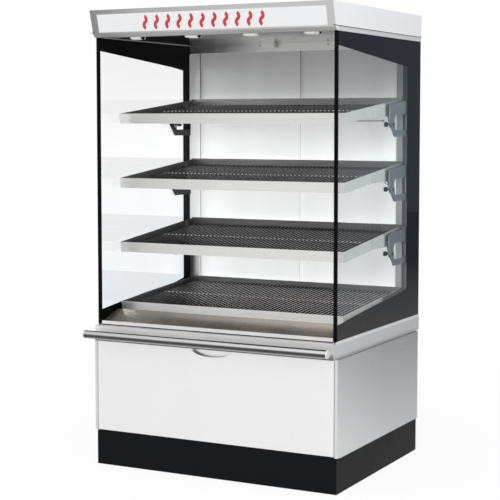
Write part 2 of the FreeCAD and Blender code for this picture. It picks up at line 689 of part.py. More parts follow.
def rear_frame():
    """Uprights with hook slots, door tracks, sliding doors and the sensor tube."""
    header_bottom = CEILING - HEADER_HEIGHT
    strip_front = POST_FACE + STRIP_SETBACK
    tube = box(POST_INNER, POST_FACE, COUNTER_TOP, POST_INNER + POST_WIDTH,
               POST_FACE + POST_DEPTH, header_bottom)
    tube = tube.cut(box(POST_INNER + POST_WALL, POST_FACE + POST_WALL, COUNTER_TOP - 1,
                        POST_INNER + POST_WIDTH - POST_WALL, POST_FACE + POST_DEPTH - POST_WALL,
                        header_bottom + 1))
    strip = box(POST_INNER + POST_WIDTH, strip_front, COUNTER_TOP, CHANNEL_INNER,
                strip_front + STRIP_THICKNESS, header_bottom)
    slot_pitch = SHELF_PITCH / SLOTS_PER_PITCH
    lowest = hook_bases(SHELF_COUNT - 1)[-1]
    while lowest - slot_pitch > COUNTER_TOP + SLOT_MARGIN:
        lowest -= slot_pitch
    z = lowest
    while z < header_bottom - SLOT_MARGIN:
        strip = strip.cut(box(BRACKET_X - SLOT_CLEARANCE, strip_front - 1, z,
                              BRACKET_X + BRACKET_THICKNESS + SLOT_CLEARANCE,
                              strip_front + STRIP_THICKNESS + 1, z + SLOT_HEIGHT))
        z += slot_pitch
    column_front = POST_FACE + POST_DEPTH
    column = box(POST_INNER, column_front, COUNTER_TOP, CHANNEL_INNER, CANOPY_BACK - SHEET, CEILING)
    column = column.cut(box(POST_INNER + SHEET, column_front + SHEET, COUNTER_TOP - 1,
                            CHANNEL_INNER - SHEET, CANOPY_BACK - 2 * SHEET, CEILING + 1))
    upright = tube.fuse(strip).fuse(column)
    save("rear_uprights", *both_sides(upright.removeSplitter()))

    header = box(-CHANNEL_INNER, POST_FACE, header_bottom, CHANNEL_INNER,
                 POST_FACE + HEADER_DEPTH, CEILING)
    sill = box(-POST_INNER, POST_FACE, COUNTER_TOP, POST_INNER, POST_FACE + HEADER_DEPTH,
               COUNTER_TOP + TRACK_HEIGHT)
    for y in door_fronts():
        header = header.cut(box(-POST_INNER, y - DOOR_CLEARANCE, header_bottom - 1, POST_INNER,
                                y + DOOR_THICKNESS + DOOR_CLEARANCE, header_bottom + GROOVE_DEPTH))
        sill = sill.cut(box(-POST_INNER - 1, y - DOOR_CLEARANCE,
                            COUNTER_TOP + TRACK_HEIGHT - SILL_GROOVE_DEPTH, POST_INNER + 1,
                            y + DOOR_THICKNESS + DOOR_CLEARANCE, COUNTER_TOP + TRACK_HEIGHT + 1))
    save("door_header", header)
    save("door_sill", sill)

    door_bottom = COUNTER_TOP + TRACK_HEIGHT - SILL_GROOVE_DEPTH + DOOR_CLEARANCE
    door_top = header_bottom + GROOVE_DEPTH - 2 * DOOR_CLEARANCE
    front_y, back_y = door_fronts()
    left = box(-POST_INNER + DOOR_CLEARANCE, front_y, door_bottom, DOOR_OVERLAP / 2,
               front_y + DOOR_THICKNESS, door_top)
    right = box(-DOOR_OVERLAP / 2, back_y, door_bottom, POST_INNER - DOOR_CLEARANCE,
                back_y + DOOR_THICKNESS, door_top)
    hole_z = (door_bottom + door_top) / 2
    hole_x = POST_INNER - DOOR_HOLE_EDGE
    left = left.cut(rod_y(-hole_x, hole_z, DOOR_HOLE_RADIUS, front_y - 1,
                          front_y + DOOR_THICKNESS + 1))
    right = right.cut(rod_y(hole_x, hole_z, DOOR_HOLE_RADIUS, back_y - 1,
                            back_y + DOOR_THICKNESS + 1))
    save("rear_door_left", left)
    save("rear_door_right", right)

    sensor_y = POST_FACE - SENSOR_SETBACK
    sensor_z = SHELF_TOP - SENSOR_BELOW
    clip = box(-POST_INNER - SENSOR_CLIP_WIDTH, sensor_y - SENSOR_TIP_RADIUS,
               sensor_z - SENSOR_CLIP_HALF, -POST_INNER, POST_FACE, sensor_z + SENSOR_CLIP_HALF)
    sensor_end = POST_INNER - SENSOR_SHORT
    sensor = rod_x(sensor_y, sensor_z, SENSOR_RADIUS, -POST_INNER - 1.0, sensor_end)
    tip = rod_x(sensor_y, sensor_z, SENSOR_TIP_RADIUS, sensor_end, sensor_end + SENSOR_TIP)
    save("sensor_tube", sensor.fuse(tip).fuse(clip))


def door_fronts():
    """Front faces of the two door leaves, each in its own groove."""
    first = POST_FACE + DOOR_FIRST
    return first, first + DOOR_PITCH


def pivot_point(index):
    """Where shelf number index turns, worked out from its front top edge."""
    tilt = math.radians(SHELF_TILT)
    reach = (PIVOT_Y - SHELF_FRONT - PIVOT_DROP * math.sin(tilt)) / math.cos(tilt)
    z = SHELF_TOP - index * SHELF_PITCH + reach * math.sin(tilt) - PIVOT_DROP * math.cos(tilt)
    return reach, z


def hook_bases(index):
    """Heights where the bracket's three hooks sit in the upright's slots, lowest last."""
    _, pivot_z = pivot_point(index)
    lowest = pivot_z - BRACKET_BOTTOM + HOOK_UP
    slot_pitch = SHELF_PITCH / SLOTS_PER_PITCH
    return [lowest + 3 * slot_pitch, lowest + slot_pitch, lowest]


def tilted(shape, pivot_y, pivot_z, degrees):
    """Turn a flat-drawn piece about its pivot and put it in place."""
    placed = shape.copy()
    placed.rotate(V(0, 0, 0), V(1, 0, 0), degrees)
    placed.translate(V(0, pivot_y, pivot_z))
    return placed


def plate_drop(rack_drop):
    """How far the plate's top lies under the rim, with the wire rack on it."""
    return rack_drop + 2 * ROD_RADIUS + 2 * CROSS_RADIUS - BITE


def shelf_pan(half, front, back, rim, top, rack_drop):
    """Rim frame with a ledge, its plate and its wire rack, drawn flat about the pivot."""
    plate_top = top - plate_drop(rack_drop)
    ledge_top = plate_top - SHELF_PLATE
    wall = SHELF_WALL
    pan = box(-half, front, top - rim, half, back, top)
    pan = pan.cut(box(-half + wall, front + wall, ledge_top, half - wall, back - wall, top + 1))
    pan = pan.cut(box(-half + wall, front + wall, top - rim - 1, half - wall, back - wall,
                      ledge_top - wall))
    pan = pan.cut(box(-half + SHELF_LEDGE, front + SHELF_LEDGE, ledge_top - wall - 1,
                      half - SHELF_LEDGE, back - SHELF_LEDGE, ledge_top + 1))
    pan = pan.fuse(box(-half, back - wall, top, half, back, top + SHELF_STOP))
    plate = box(-half + wall, front + wall, ledge_top, half - wall, back - wall, plate_top)
    rack = wire_rack(front + RACK_FRONT_GAP, back - RACK_BACK_GAP, top - rack_drop)
    return pan.removeSplitter(), plate, rack


def wire_rack(front, back, top):
    """Rods from front to back, welded on three cross wires."""
    rod_z_mid = top - ROD_RADIUS
    cross_z = top - 2 * ROD_RADIUS - CROSS_RADIUS + BITE
    gaps = round(2 * RACK_HALF / RACK_PITCH)
    rods = [rod_y(-RACK_HALF + 2 * RACK_HALF * k / gaps, rod_z_mid, ROD_RADIUS, front, back)
            for k in range(gaps + 1)]
    crosses = [rod_x(y, cross_z, CROSS_RADIUS, -RACK_HALF - CROSS_RADIUS, RACK_HALF + CROSS_RADIUS)
               for y in (front + CROSS_INSET, (front + back) / 2, back - CROSS_INSET)]
    return crosses[0].multiFuse(crosses[1:] + rods)


def shelves():
    """Three shelves that tilt on brackets hooked in the posts."""
    reach, _ = pivot_point(0)
    back = (SHELF_BACK - PIVOT_Y) / math.cos(math.radians(SHELF_TILT))
    top = PIVOT_DROP
    bore = PIVOT_RADIUS + RUNNING_CLEARANCE
    pan, plate, rack = shelf_pan(SHELF_HALF, -reach, back, SHELF_RIM, top, RACK_DROP)

    tilt = math.radians(SHELF_TILT)
    knob_y = -KNOB_BACK * math.cos(tilt) - KNOB_DOWN * math.sin(tilt)
    knob_z = -KNOB_DOWN * math.cos(tilt) + KNOB_BACK * math.sin(tilt)
    arm = side_prism([(-ARM_FRONT, top - SHELF_STOP), (-ARM_FRONT, -ARM_FRONT_LOW),
                      (-ARM_BELLY_Y, -ARM_BELLY_LOW), (knob_y - ARM_LOBE, knob_z),
                      (knob_y - ARM_LOBE * 0.6, knob_z - ARM_LOBE),
                      (knob_y + ARM_LOBE * 0.6, knob_z - ARM_LOBE),
                      (knob_y + ARM_LOBE * 1.4, knob_z), (-ARM_NECK_Y, -ARM_NECK_LOW),
                      (back, -ARM_REAR_LOW), (back, top - SHELF_STOP)],
                     SHELF_HALF, SHELF_HALF + ARM_THICKNESS)
    arm = arm.cut(rod_x(knob_y, knob_z, KNOB_SHANK + RUNNING_CLEARANCE, SHELF_HALF - 1,
                        SHELF_HALF + ARM_THICKNESS + 1))
    pan = pan.fuse(arm).fuse(mirror(arm))
    pan = pan.cut(rod_x(0, 0, bore, -SHELF_HALF - ARM_THICKNESS - 1,
                        SHELF_HALF + ARM_THICKNESS + 1)).removeSplitter()

    brackets = []
    for index in range(SHELF_COUNT):
        _, pivot_z = pivot_point(index)
        name = "shelf_%d" % (index + 1)
        save(name + "_pan", tilted(pan, PIVOT_Y, pivot_z, SHELF_TILT))
        save(name + "_plate", tilted(plate, PIVOT_Y, pivot_z, SHELF_TILT))
        save(name + "_rack", tilted(rack, PIVOT_Y, pivot_z, SHELF_TILT))
        brackets += both_sides(shelf_bracket(index))
        knob = lock_knob(PIVOT_Y - KNOB_BACK, pivot_z - KNOB_DOWN)
        save(name + "_knob_right", knob)
        save(name + "_knob_left", mirror(knob))

    save("shelf_brackets", *brackets)

    bolts = []
    for index in range(SHELF_COUNT):
        _, pivot_z = pivot_point(index)
        bolts += both_sides(pivot_bolt(pivot_z))
    save("shelf_pivot_bolts", *bolts)


def pivot_bolt(pivot_z):
    """Shoulder bolt: head inside the pan, spacer between arm and bracket."""
    head_outer = SHELF_HALF - SHELF_WALL - BOLT_GAP
    arm_outer = SHELF_HALF + ARM_THICKNESS
    wide = PIVOT_RADIUS * BOLT_HEAD_RATIO
    shank = rod_x(PIVOT_Y, pivot_z, PIVOT_RADIUS, head_outer, BRACKET_X + BRACKET_THICKNESS)
    head = rod_x(PIVOT_Y, pivot_z, wide, head_outer - BOLT_HEAD, head_outer)
    spacer = rod_x(PIVOT_Y, pivot_z, wide, arm_outer + BOLT_GAP, BRACKET_X)
    return shank.fuse(head).fuse(spacer)


def shelf_bracket(index):
    """Steel plate with a hand window, an arc slot and three hooks."""
    _, pivot_z = pivot_point(index)
    strip_front = POST_FACE + STRIP_SETBACK
    bottom = pivot_z - BRACKET_BOTTOM
    top = pivot_z + BRACKET_RISE
    front = PIVOT_Y - BRACKET_FRONT
    x0 = BRACKET_X
    x1 = BRACKET_X + BRACKET_THICKNESS
    plate = side_prism([(front, pivot_z), (front + BRACKET_WAIST_BACK, pivot_z - BRACKET_WAIST),
                        (front + BRACKET_FOOT_BACK, bottom), (strip_front, bottom),
                        (strip_front, top), (PIVOT_Y + BRACKET_TOP_FRONT, top)], x0, x1)
    plate = soften(plate, BRACKET_CORNER, lambda e: abs(e.Length - BRACKET_THICKNESS) < 0.01
                   and e.CenterOfMass.y < strip_front - 1)
    window = side_prism([(PIVOT_Y - WINDOW_TOP_FRONT, pivot_z - WINDOW_TOP),
                         (PIVOT_Y + WINDOW_BACK, pivot_z - WINDOW_TOP),
                         (PIVOT_Y + WINDOW_BACK, pivot_z - WINDOW_BOTTOM),
                         (PIVOT_Y - WINDOW_LOW_FRONT, pivot_z - WINDOW_BOTTOM)], x0 - 1, x1 + 1)
    window = soften(window, WINDOW_CORNER, lambda e: abs(e.Length - BRACKET_THICKNESS - 2) < 0.01)
    plate = plate.cut(window)
    radius = math.hypot(KNOB_BACK, KNOB_DOWN)
    middle = math.degrees(math.atan2(-KNOB_DOWN, -KNOB_BACK))
    spare = math.degrees(PLAY / radius)
    slot_half = KNOB_SHANK + SLOT_CLEARANCE
    first = middle - TILT_TRAVEL - spare
    last = middle + TILT_TRAVEL + spare
    slot = arc_slot(radius, slot_half, first, last, x0 - 1, x1 + 1)
    slot.translate(V(0, PIVOT_Y, pivot_z))
    plate = plate.cut(slot)
    plate = plate.cut(rod_x(PIVOT_Y, pivot_z, PIVOT_RADIUS, x0 - 1, x1 + 1))
    strip_back = strip_front + STRIP_THICKNESS + SLOT_CLEARANCE
    hook_back = strip_back + HOOK_REACH
    for z in hook_bases(index):
        tab_top = z + SLOT_HEIGHT - 1.0
        plate = plate.fuse(side_prism([(strip_front, z), (strip_back, z),
                                       (strip_back, z - HOOK_DROP), (hook_back, z - HOOK_DROP),
                                       (hook_back, tab_top), (strip_front, tab_top)], x0, x1))
    return plate.removeSplitter()


def arc_slot(radius, half_width, first, last, x0, x1):
    """A slot along an arc about the X axis, with round ends."""
    ring = Part.makeCylinder(radius + half_width, x1 - x0, V(x0, 0, 0), V(1, 0, 0))
    ring = ring.cut(Part.makeCylinder(radius - half_width, x1 - x0, V(x0, 0, 0), V(1, 0, 0)))
    far = 2 * radius
    ends = [(far * math.cos(math.radians(a)), far * math.sin(math.radians(a))) for a in (first, last)]
    wedge = side_prism([(0, 0), ends[0], ends[1]], x0, x1)
    slot = ring.common(wedge)
    for angle in (first, last):
        y = radius * math.cos(math.radians(angle))
        z = radius * math.sin(math.radians(angle))
        slot = slot.fuse(rod_x(y, z, half_width, x0, x1))
    return slot


def lock_knob(y, z):
    """Knurled hand knob, its screw and the end washer beyond the bracket."""
    head = rod_x(y, z, KNOB_RADIUS, KNOB_INNER, KNOB_INNER + KNOB_LENGTH)
    for k in range(KNOB_GRIPS):
        a = 2 * math.pi * k / KNOB_GRIPS
        out = KNOB_RADIUS + KNOB_GRIP_OUT
        head = head.cut(rod_x(y + out * math.cos(a), z + out * math.sin(a), KNOB_GRIP_RADIUS,
                              KNOB_INNER - 1, KNOB_INNER + KNOB_LENGTH + 1))
    washer_inner = BRACKET_X + BRACKET_THICKNESS + SLOT_CLEARANCE
    shank = rod_x(y, z, KNOB_SHANK, KNOB_INNER + KNOB_LENGTH, washer_inner)
    washer = rod_x(y, z, KNOB_WASHER, washer_inner, washer_inner + KNOB_WASHER_THICKNESS)
    return head.fuse(shank).fuse(washer)


def bottom_deck():
    """Bottom tray, its supports, the slanted front sheet and the air lip."""
    tilt = math.radians(TRAY_TILT)
    length = (SHELF_BACK - TRAY_FRONT) / math.cos(tilt)
    pan, plate, rack = shelf_pan(TRAY_HALF, 0.0, length, TRAY_RIM, 0.0, TRAY_RACK_DROP)
    save("bottom_tray_pan", tilted(pan, TRAY_FRONT, TRAY_TOP, TRAY_TILT))
    save("bottom_tray_plate", tilted(plate, TRAY_FRONT, TRAY_TOP, TRAY_TILT))
    save("bottom_tray_rack", tilted(rack, TRAY_FRONT, TRAY_TOP, TRAY_TILT))

    under = [(0.0, -TRAY_RIM), (length - TRAY_SUPPORT_SHORT, -TRAY_RIM)]
    points = []
    for y, z in under:
        points.append((TRAY_FRONT + y * math.cos(tilt) - z * math.sin(tilt),
                       TRAY_TOP + y * math.sin(tilt) + z * math.cos(tilt)))
    (front_y, front_z), (back_y, back_z) = points
    web = side_prism([(front_y, COUNTER_TOP), (back_y, COUNTER_TOP), (back_y, back_z),
                      (front_y, front_z)], COUNTER_INNER, COUNTER_INNER + SHEET)
    shelf = side_prism([(front_y, front_z - SHEET), (back_y, back_z - SHEET), (back_y, back_z),
                        (front_y, front_z)], TRAY_HALF - TRAY_SUPPORT_WIDTH, COUNTER_INNER)
    save("tray_supports", *both_sides(web.fuse(shelf).removeSplitter()))

    lip_top = COUNTER_TOP + LIP_HEIGHT
    lip_back = LIP_FRONT + LIP_DEPTH
    half = CHANNEL_INNER - FLAP_GAP
    lip = box(-half, LIP_FRONT, COUNTER_TOP, half, lip_back, lip_top)
    save("front_lip", lip)
    corner_y = TRAY_FRONT + TRAY_RIM * math.sin(tilt)
    corner_z = TRAY_TOP - TRAY_RIM * math.cos(tilt)
    deck = side_prism([(lip_back, lip_top - DECK_SHEET), (lip_back, lip_top),
                       (corner_y - PLAY, corner_z), (corner_y - PLAY, corner_z - DECK_SHEET)],
                      -half, half)
    apron = side_prism([(lip_back, COUNTER_TOP), (lip_back + DECK_SHEET, COUNTER_TOP),
                        (lip_back + DECK_SHEET, lip_top - DECK_SHEET + 1),
                        (lip_back, lip_top - DECK_SHEET)], -half, half)
    cheek = side_prism([(lip_back, COUNTER_TOP), (corner_y - PLAY, COUNTER_TOP),
                        (corner_y - PLAY, corner_z - 1), (lip_back, lip_top - 1)],
                       half - DECK_SHEET, half)
    deck = deck.fuse(apron).fuse(cheek).fuse(mirror(cheek))
    save("front_deck", deck.removeSplitter())


def hot_air_system():
    """Insulated plenum floor, blower and heating elements."""
    front = BODY_FRONT + FLAP_DEPTH + PLENUM_SETBACK
    floor = box(-SIDE_INNER, front, PLENUM_BOTTOM, SIDE_INNER, BODY_BACK - SHEET, BODY_TOP)
    floor = floor.cut(rod_z(BLOWER_X, BLOWER_Y, SHAFT_RADIUS * SHAFT_HOLE_RATIO,
                            PLENUM_BOTTOM - 1, BODY_TOP + 1))
    save("plenum_floor", floor)

    motor = rod_z(BLOWER_X, BLOWER_Y, MOTOR_RADIUS, PLENUM_BOTTOM - MOTOR_HEIGHT, PLENUM_BOTTOM)
    shaft_low = PLENUM_BOTTOM - MOTOR_HEIGHT + SHAFT_BLIND
    motor = motor.cut(rod_z(BLOWER_X, BLOWER_Y, SHAFT_RADIUS + RUNNING_CLEARANCE, shaft_low,
                            PLENUM_BOTTOM + 1))
    save("blower_motor", motor)
    save("blower_wheel", blower_wheel(shaft_low + PLAY))

    elements = [heating_element(y) for y in (HEATER_FRONT_Y, HEATER_REAR_Y)]
    save("heating_elements", *elements)


def heating_element(y):
    """A hairpin: two straight runs, a half turn, two stands and a terminal block."""
    z = BODY_TOP + HEATER_RISE
    middle = y + HEATER_SPREAD / 2
    runs = [rod_x(y, z, HEATER_RADIUS, -HEATER_HALF, HEATER_HALF),
            rod_x(y + HEATER_SPREAD, z, HEATER_RADIUS, -HEATER_HALF, HEATER_HALF)]
    bend = Part.makeTorus(HEATER_SPREAD / 2, HEATER_RADIUS, V(HEATER_HALF, middle, z), V(0, 0, 1))
    reach = HEATER_SPREAD
    bend = bend.common(box(HEATER_HALF, middle - reach, z - reach, HEATER_HALF + reach,
                           middle + reach, z + reach))
    front = y - HEATER_MARGIN
    back = y + HEATER_SPREAD + HEATER_MARGIN
    block = box(-HEATER_HALF - HEATER_BLOCK, front, BODY_TOP, -HEATER_HALF, back,
                z + HEATER_MARGIN)
    element = runs[0].fuse(bend).fuse(runs[1]).fuse(block)
    for share in HEATER_STANDS:
        x = share * HEATER_HALF
        element = element.fuse(box(x - HEATER_STAND / 2, front, BODY_TOP, x + HEATER_STAND / 2,
                                   back, z + HEATER_MARGIN - 1))
    return element


def blower_wheel(shaft_low):
    """Radial wheel on its shaft: back plate, blades, shroud ring and hub."""
    low = BODY_TOP + WHEEL_GAP
    plate = rod_z(0, 0, WHEEL_RADIUS, low, low + SHEET)
    hub = rod_z(0, 0, SHAFT_RADIUS * HUB_RATIO, low, low + WHEEL_HEIGHT * HUB_SHARE)
    ring = rod_z(0, 0, WHEEL_RADIUS, low + WHEEL_HEIGHT - SHEET, low + WHEEL_HEIGHT)
    ring = ring.cut(rod_z(0, 0, WHEEL_RADIUS - WHEEL_RING_WIDTH, low, low + WHEEL_HEIGHT + 1))
    wheel = plate.fuse(hub).fuse(ring)
    blade_start = WHEEL_RADIUS - BLADE_INNER
    blade = box(blade_start, -BLADE_THICKNESS / 2, low + SHEET / 2, WHEEL_RADIUS - BLADE_OUTER,
                BLADE_THICKNESS / 2, low + WHEEL_HEIGHT - SHEET / 2)
    blade.rotate(V(blade_start, 0, 0), V(0, 0, 1), BLADE_ANGLE)
    for k in range(WHEEL_BLADES):
        turned = blade.copy()
        turned.rotate(V(0, 0, 0), V(0, 0, 1), 360.0 * k / WHEEL_BLADES)
        wheel = wheel.fuse(turned)
    wheel = wheel.fuse(rod_z(0, 0, SHAFT_RADIUS, shaft_low, BODY_TOP + SHAFT_RISE))
    wheel.translate(V(BLOWER_X, BLOWER_Y, 0))
    return wheel


def controls():
    """Control plate with dial and rocker, the electrics box and the cable gland."""
    face = BODY_BACK + CONTROL_PLATE
    half_width = CONTROL_WIDTH / 2
    half_height = CONTROL_HEIGHT / 2
    plate = box(CONTROL_X - half_width, BODY_BACK, CONTROL_Z - half_height,
                CONTROL_X + half_width, face, CONTROL_Z + half_height)
    plate = soften(plate, PLATE_CORNER, lambda e: abs(e.Length - CONTROL_PLATE) < 0.01)
    plate = plate.cut(rod_y(DIAL_X, CONTROL_Z, SPINDLE_RADIUS + SPINDLE_ROOM, BODY_BACK - 1,
                            face + 1))
    rim = BEZEL_RIM
    bezel_top = face + BEZEL_HEIGHT
    floor = face + BEZEL_FLOOR
    half_w = ROCKER_WIDTH / 2
    half_h = ROCKER_HEIGHT / 2
    bezel = box(ROCKER_X - half_w - rim, face, CONTROL_Z - half_h - rim, ROCKER_X + half_w + rim,
                bezel_top, CONTROL_Z + half_h + rim)
    plate = plate.fuse(bezel)
    plate = plate.cut(box(ROCKER_X - half_w, floor, CONTROL_Z - half_h, ROCKER_X + half_w,
                          bezel_top + 1, CONTROL_Z + half_h))
    plate = plate.cut(rod_x(floor + ROCKER_PIVOT, CONTROL_Z, PIN_RADIUS + RUNNING_CLEARANCE,
                            ROCKER_X - half_w - PIN_BITE - PLAY,
                            ROCKER_X + half_w + PIN_BITE + PLAY))
    save("control_plate", plate.removeSplitter())

    dial_top = face + DIAL_HEIGHT
    dial = rod_y(DIAL_X, CONTROL_Z, DIAL_RADIUS, face + PLAY, dial_top)
    dial = soften(dial, DIAL_EDGE,
                  lambda e: len(e.Vertexes) == 1 and e.CenterOfMass.y > dial_top - 0.1)
    spindle_end = BODY_BACK - SHEET - SPINDLE_DEPTH
    spindle = rod_y(DIAL_X, CONTROL_Z, SPINDLE_RADIUS, spindle_end, face + PLAY)
    pointer = box(DIAL_X - POINTER_WIDTH / 2, dial_top - POINTER_RISE, CONTROL_Z + POINTER_MARGIN,
                  DIAL_X + POINTER_WIDTH / 2, dial_top + POINTER_RISE,
                  CONTROL_Z + DIAL_RADIUS - POINTER_MARGIN)
    save("thermostat_dial", dial.fuse(spindle).fuse(pointer))

    end = half_h - ROCKER_PLAY
    pivot_y = floor + ROCKER_PIVOT
    crest = pivot_y + ROCKER_CREST
    rocker = side_prism([(pivot_y - ROCKER_HEEL, CONTROL_Z), (pivot_y, CONTROL_Z - end),
                         (crest, CONTROL_Z - end), (pivot_y + ROCKER_DIP, CONTROL_Z),
                         (crest, CONTROL_Z + end), (pivot_y, CONTROL_Z + end)],
                        ROCKER_X - half_w + PLAY, ROCKER_X + half_w - PLAY)
    rocker = rocker.fuse(rod_x(pivot_y, CONTROL_Z, PIN_RADIUS, ROCKER_X - half_w - PIN_BITE,
                               ROCKER_X + half_w + PIN_BITE))
    rocker.rotate(V(ROCKER_X, pivot_y, CONTROL_Z), V(1, 0, 0), -ROCKER_TIP)
    save("power_switch", rocker)

    back = BODY_BACK - SHEET
    electrics = box(CONTROL_X - half_width, back - ELECTRICS_DEPTH, CONTROL_Z - half_height,
                    CONTROL_X + half_width, back, CONTROL_Z + half_height)
    electrics = soften(electrics, ELECTRICS_CORNER, vertical)
    electrics = electrics.cut(rod_y(DIAL_X, CONTROL_Z, SPINDLE_RADIUS + RUNNING_CLEARANCE,
                                    spindle_end - PLAY, back + 1))
    save("electrics_box", electrics)

    nut = rod_y(CONTROL_X, gland_z(), GLAND_RADIUS + GLAND_NUT_RIM, BODY_BACK,
                BODY_BACK + GLAND_NUT)
    barrel = rod_y(CONTROL_X, gland_z(), GLAND_RADIUS, back, BODY_BACK + GLAND_LENGTH)
    bore = rod_y(CONTROL_X, gland_z(), GLAND_BORE, back - 1, BODY_BACK + GLAND_LENGTH + 1)
    save("cable_gland", nut.fuse(barrel).cut(bore))


base_cabinet()
front_flap()
counter()
side_glasses()
canopy()
rear_frame()
shelves()
bottom_deck()
hot_air_system()
controls()
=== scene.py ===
# %% [markdown]
# # Heated display case
# A tall self-serve warmer: a steel base with a service flap, two side glasses, three
# tilting shelves with wire racks, a canopy with a sign. The CAD model arrives as a
# fixed frame of named nodes. This lesson gives each node its finish and adds the
# pieces that are better made here: the printed glass border, the row of
# heat waves on the sign, screws, louvre hoods and the dial's scale.

# %% Load the frame
import bpy
import bmesh
import math
from mathutils import Matrix, Vector


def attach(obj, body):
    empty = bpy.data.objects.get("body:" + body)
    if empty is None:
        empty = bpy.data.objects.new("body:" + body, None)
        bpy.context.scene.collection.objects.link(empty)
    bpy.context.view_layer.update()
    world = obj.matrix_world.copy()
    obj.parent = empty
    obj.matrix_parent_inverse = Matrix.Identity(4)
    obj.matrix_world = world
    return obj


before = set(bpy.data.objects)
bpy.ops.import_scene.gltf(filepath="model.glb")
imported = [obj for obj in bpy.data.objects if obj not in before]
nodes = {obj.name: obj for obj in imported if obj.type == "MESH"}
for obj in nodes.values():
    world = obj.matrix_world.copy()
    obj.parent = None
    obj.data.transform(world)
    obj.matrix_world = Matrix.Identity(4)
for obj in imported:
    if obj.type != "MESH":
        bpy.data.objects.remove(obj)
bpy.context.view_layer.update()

# %% [markdown]
# The CAD drawings measure from the middle of the base cabinet. The frame's origin is
# the middle of the whole box, rail included, so every depth gets the same small shift.

# %% Depths measured from the base cabinet
DEPTH_SHIFT = 0.029


def depth(millimetres):
    """A depth from the middle of the base cabinet, as a Y of the frame."""
    return millimetres / 1000 + DEPTH_SHIFT


print("front glass edge at", depth(-378))

# %% [markdown]
# ## Camera
# The photograph was taken almost level, from the front right, with a long lens. The
# lens is shifted down a little, as a view camera does, so that the uprights stay
# upright. A strong shift would cut the top off in other views, so it is small and
# the camera also looks down by a few degrees.

# %% Camera
LOOKS_DOWN, TURNED = 4.287, 27.588
camera_data = bpy.data.cameras.new("camera")
camera = bpy.data.objects.new("camera", camera_data)
bpy.context.scene.collection.objects.link(camera)
camera_data.sensor_width = 36.0
camera_data.lens = 100.705
camera_data.shift_y = -0.05
camera_data.clip_end = 60.0
camera.location = (2.43634, -4.71736, 1.30019)
camera.rotation_euler = (math.radians(90.0 - LOOKS_DOWN), 0.0, math.radians(TURNED))
bpy.context.scene.camera = camera
bpy.context.scene.view_settings.view_transform = "Standard"
print("lens", camera_data.lens)

# %% [markdown]
# ## Node helpers
# The room, the floor and every finish are node trees. A few short functions place a
# node, link it, and hand back the socket that the next node needs.

# %% Node helpers
def add(tree, kind, **inputs):
    """One node; its sockets are set by name, or linked when a socket is given."""
    node = tree.nodes.new(kind)
    for name, value in inputs.items():
        numbered = name[0] == "i" and name[1:].isdigit()
        socket = node.inputs[int(name[1:]) if numbered else name.replace("_", " ")]
        if isinstance(value, bpy.types.NodeSocket):
            tree.links.new(value, socket)
        else:
            socket.default_value = value
    return node


def ramp(tree, factor, *stops):
    """A colour ramp with stops of (position, grey) or (position, colour)."""
    node = add(tree, "ShaderNodeValToRGB", Fac=factor)
    line = node.color_ramp.elements
    while len(line) < len(stops):
        line.new(0.5)
    for element, (position, colour) in zip(line, stops):
        element.position = position
        element.color = colour if isinstance(colour, tuple) else (colour, colour, colour, 1.0)
    return node.outputs["Color"]


def arith(tree, operation, first, second=0.0, third=0.0):
    """One sum on plain values."""
    node = add(tree, "ShaderNodeMath", i0=first, i1=second, i2=third)
    node.operation = operation
    return node.outputs[0]


def vector_sum(tree, operation, first, second=(0.0, 0.0, 0.0)):
    """One sum on vectors or colours; a dot product and a length give a value."""
    node = add(tree, "ShaderNodeVectorMath", i0=first, i1=second)
    node.operation = operation
    return node.outputs["Value" if operation in ("DOT_PRODUCT", "LENGTH") else "Vector"]


def scaled(tree, colour, factor):
    """A colour made darker or brighter by a changing value."""
    node = add(tree, "ShaderNodeVectorMath", i0=colour)
    node.operation = "SCALE"
    tree.links.new(factor, node.inputs["Scale"])
    return node.outputs["Vector"]


def span(tree, value, low, high, start=0.0, end=1.0):
    """A value carried from the range start to end into the range low to high."""
    node = add(tree, "ShaderNodeMapRange", Value=value)
    node.inputs["From Min"].default_value = start
    node.inputs["From Max"].default_value = end
    node.inputs["To Min"].default_value = low
    node.inputs["To Max"].default_value = high
    return node.outputs[0]


def mixed(tree, factor, first, second):
    """Two colours mixed by a mask."""
    node = tree.nodes.new("ShaderNodeMix")
    node.data_type = "RGBA"
    tree.links.new(factor, node.inputs[0])
    for socket, value in ((node.inputs[6], first), (node.inputs[7], second)):
        if isinstance(value, bpy.types.NodeSocket):
            tree.links.new(value, socket)
        else:
            socket.default_value = (*value, 1.0)
    return node.outputs[2]


def xyz(tree, source):
    """The X, Y and Z of a vector."""
    return add(tree, "ShaderNodeSeparateXYZ", Vector=source).outputs


def along(tree, place, axis, start, end):
    """How far a point lies from start to end on one axis, from 0 to 1."""
    return span(tree, xyz(tree, place)[axis], 0.0, 1.0, start, end)


def face_normal(tree, kind="True Normal"):
    """The X, Y and Z of the way a face looks; the kind Normal is the smoothed one."""
    return xyz(tree, add(tree, "ShaderNodeNewGeometry").outputs[kind])


def sight(tree):
    """Two masks: seen directly or only through glass, and seen in a polished face."""
    path = add(tree, "ShaderNodeLightPath").outputs
    bounced = arith(tree, "ADD", path["Glossy Depth"], path["Diffuse Depth"])
    through = arith(tree, "MULTIPLY", path["Is Transmission Ray"],
                    arith(tree, "LESS_THAN", bounced, 0.5))
    direct = arith(tree, "MAXIMUM", path["Is Camera Ray"], through)
    return direct, arith(tree, "GREATER_THAN", path["Glossy Depth"], 0.5)


print("node helpers ready")

# %% [markdown]
# ## Studio
# A product photograph of steel is lit by large pale surfaces, because steel shows
# whatever stands round it. The world is that room: white for the camera and through
# glass, and for reflections bright in front and greyer behind, like a studio with
# white screens at the camera's side. A soft lamp on each side shapes the painted
# and plastic pieces.

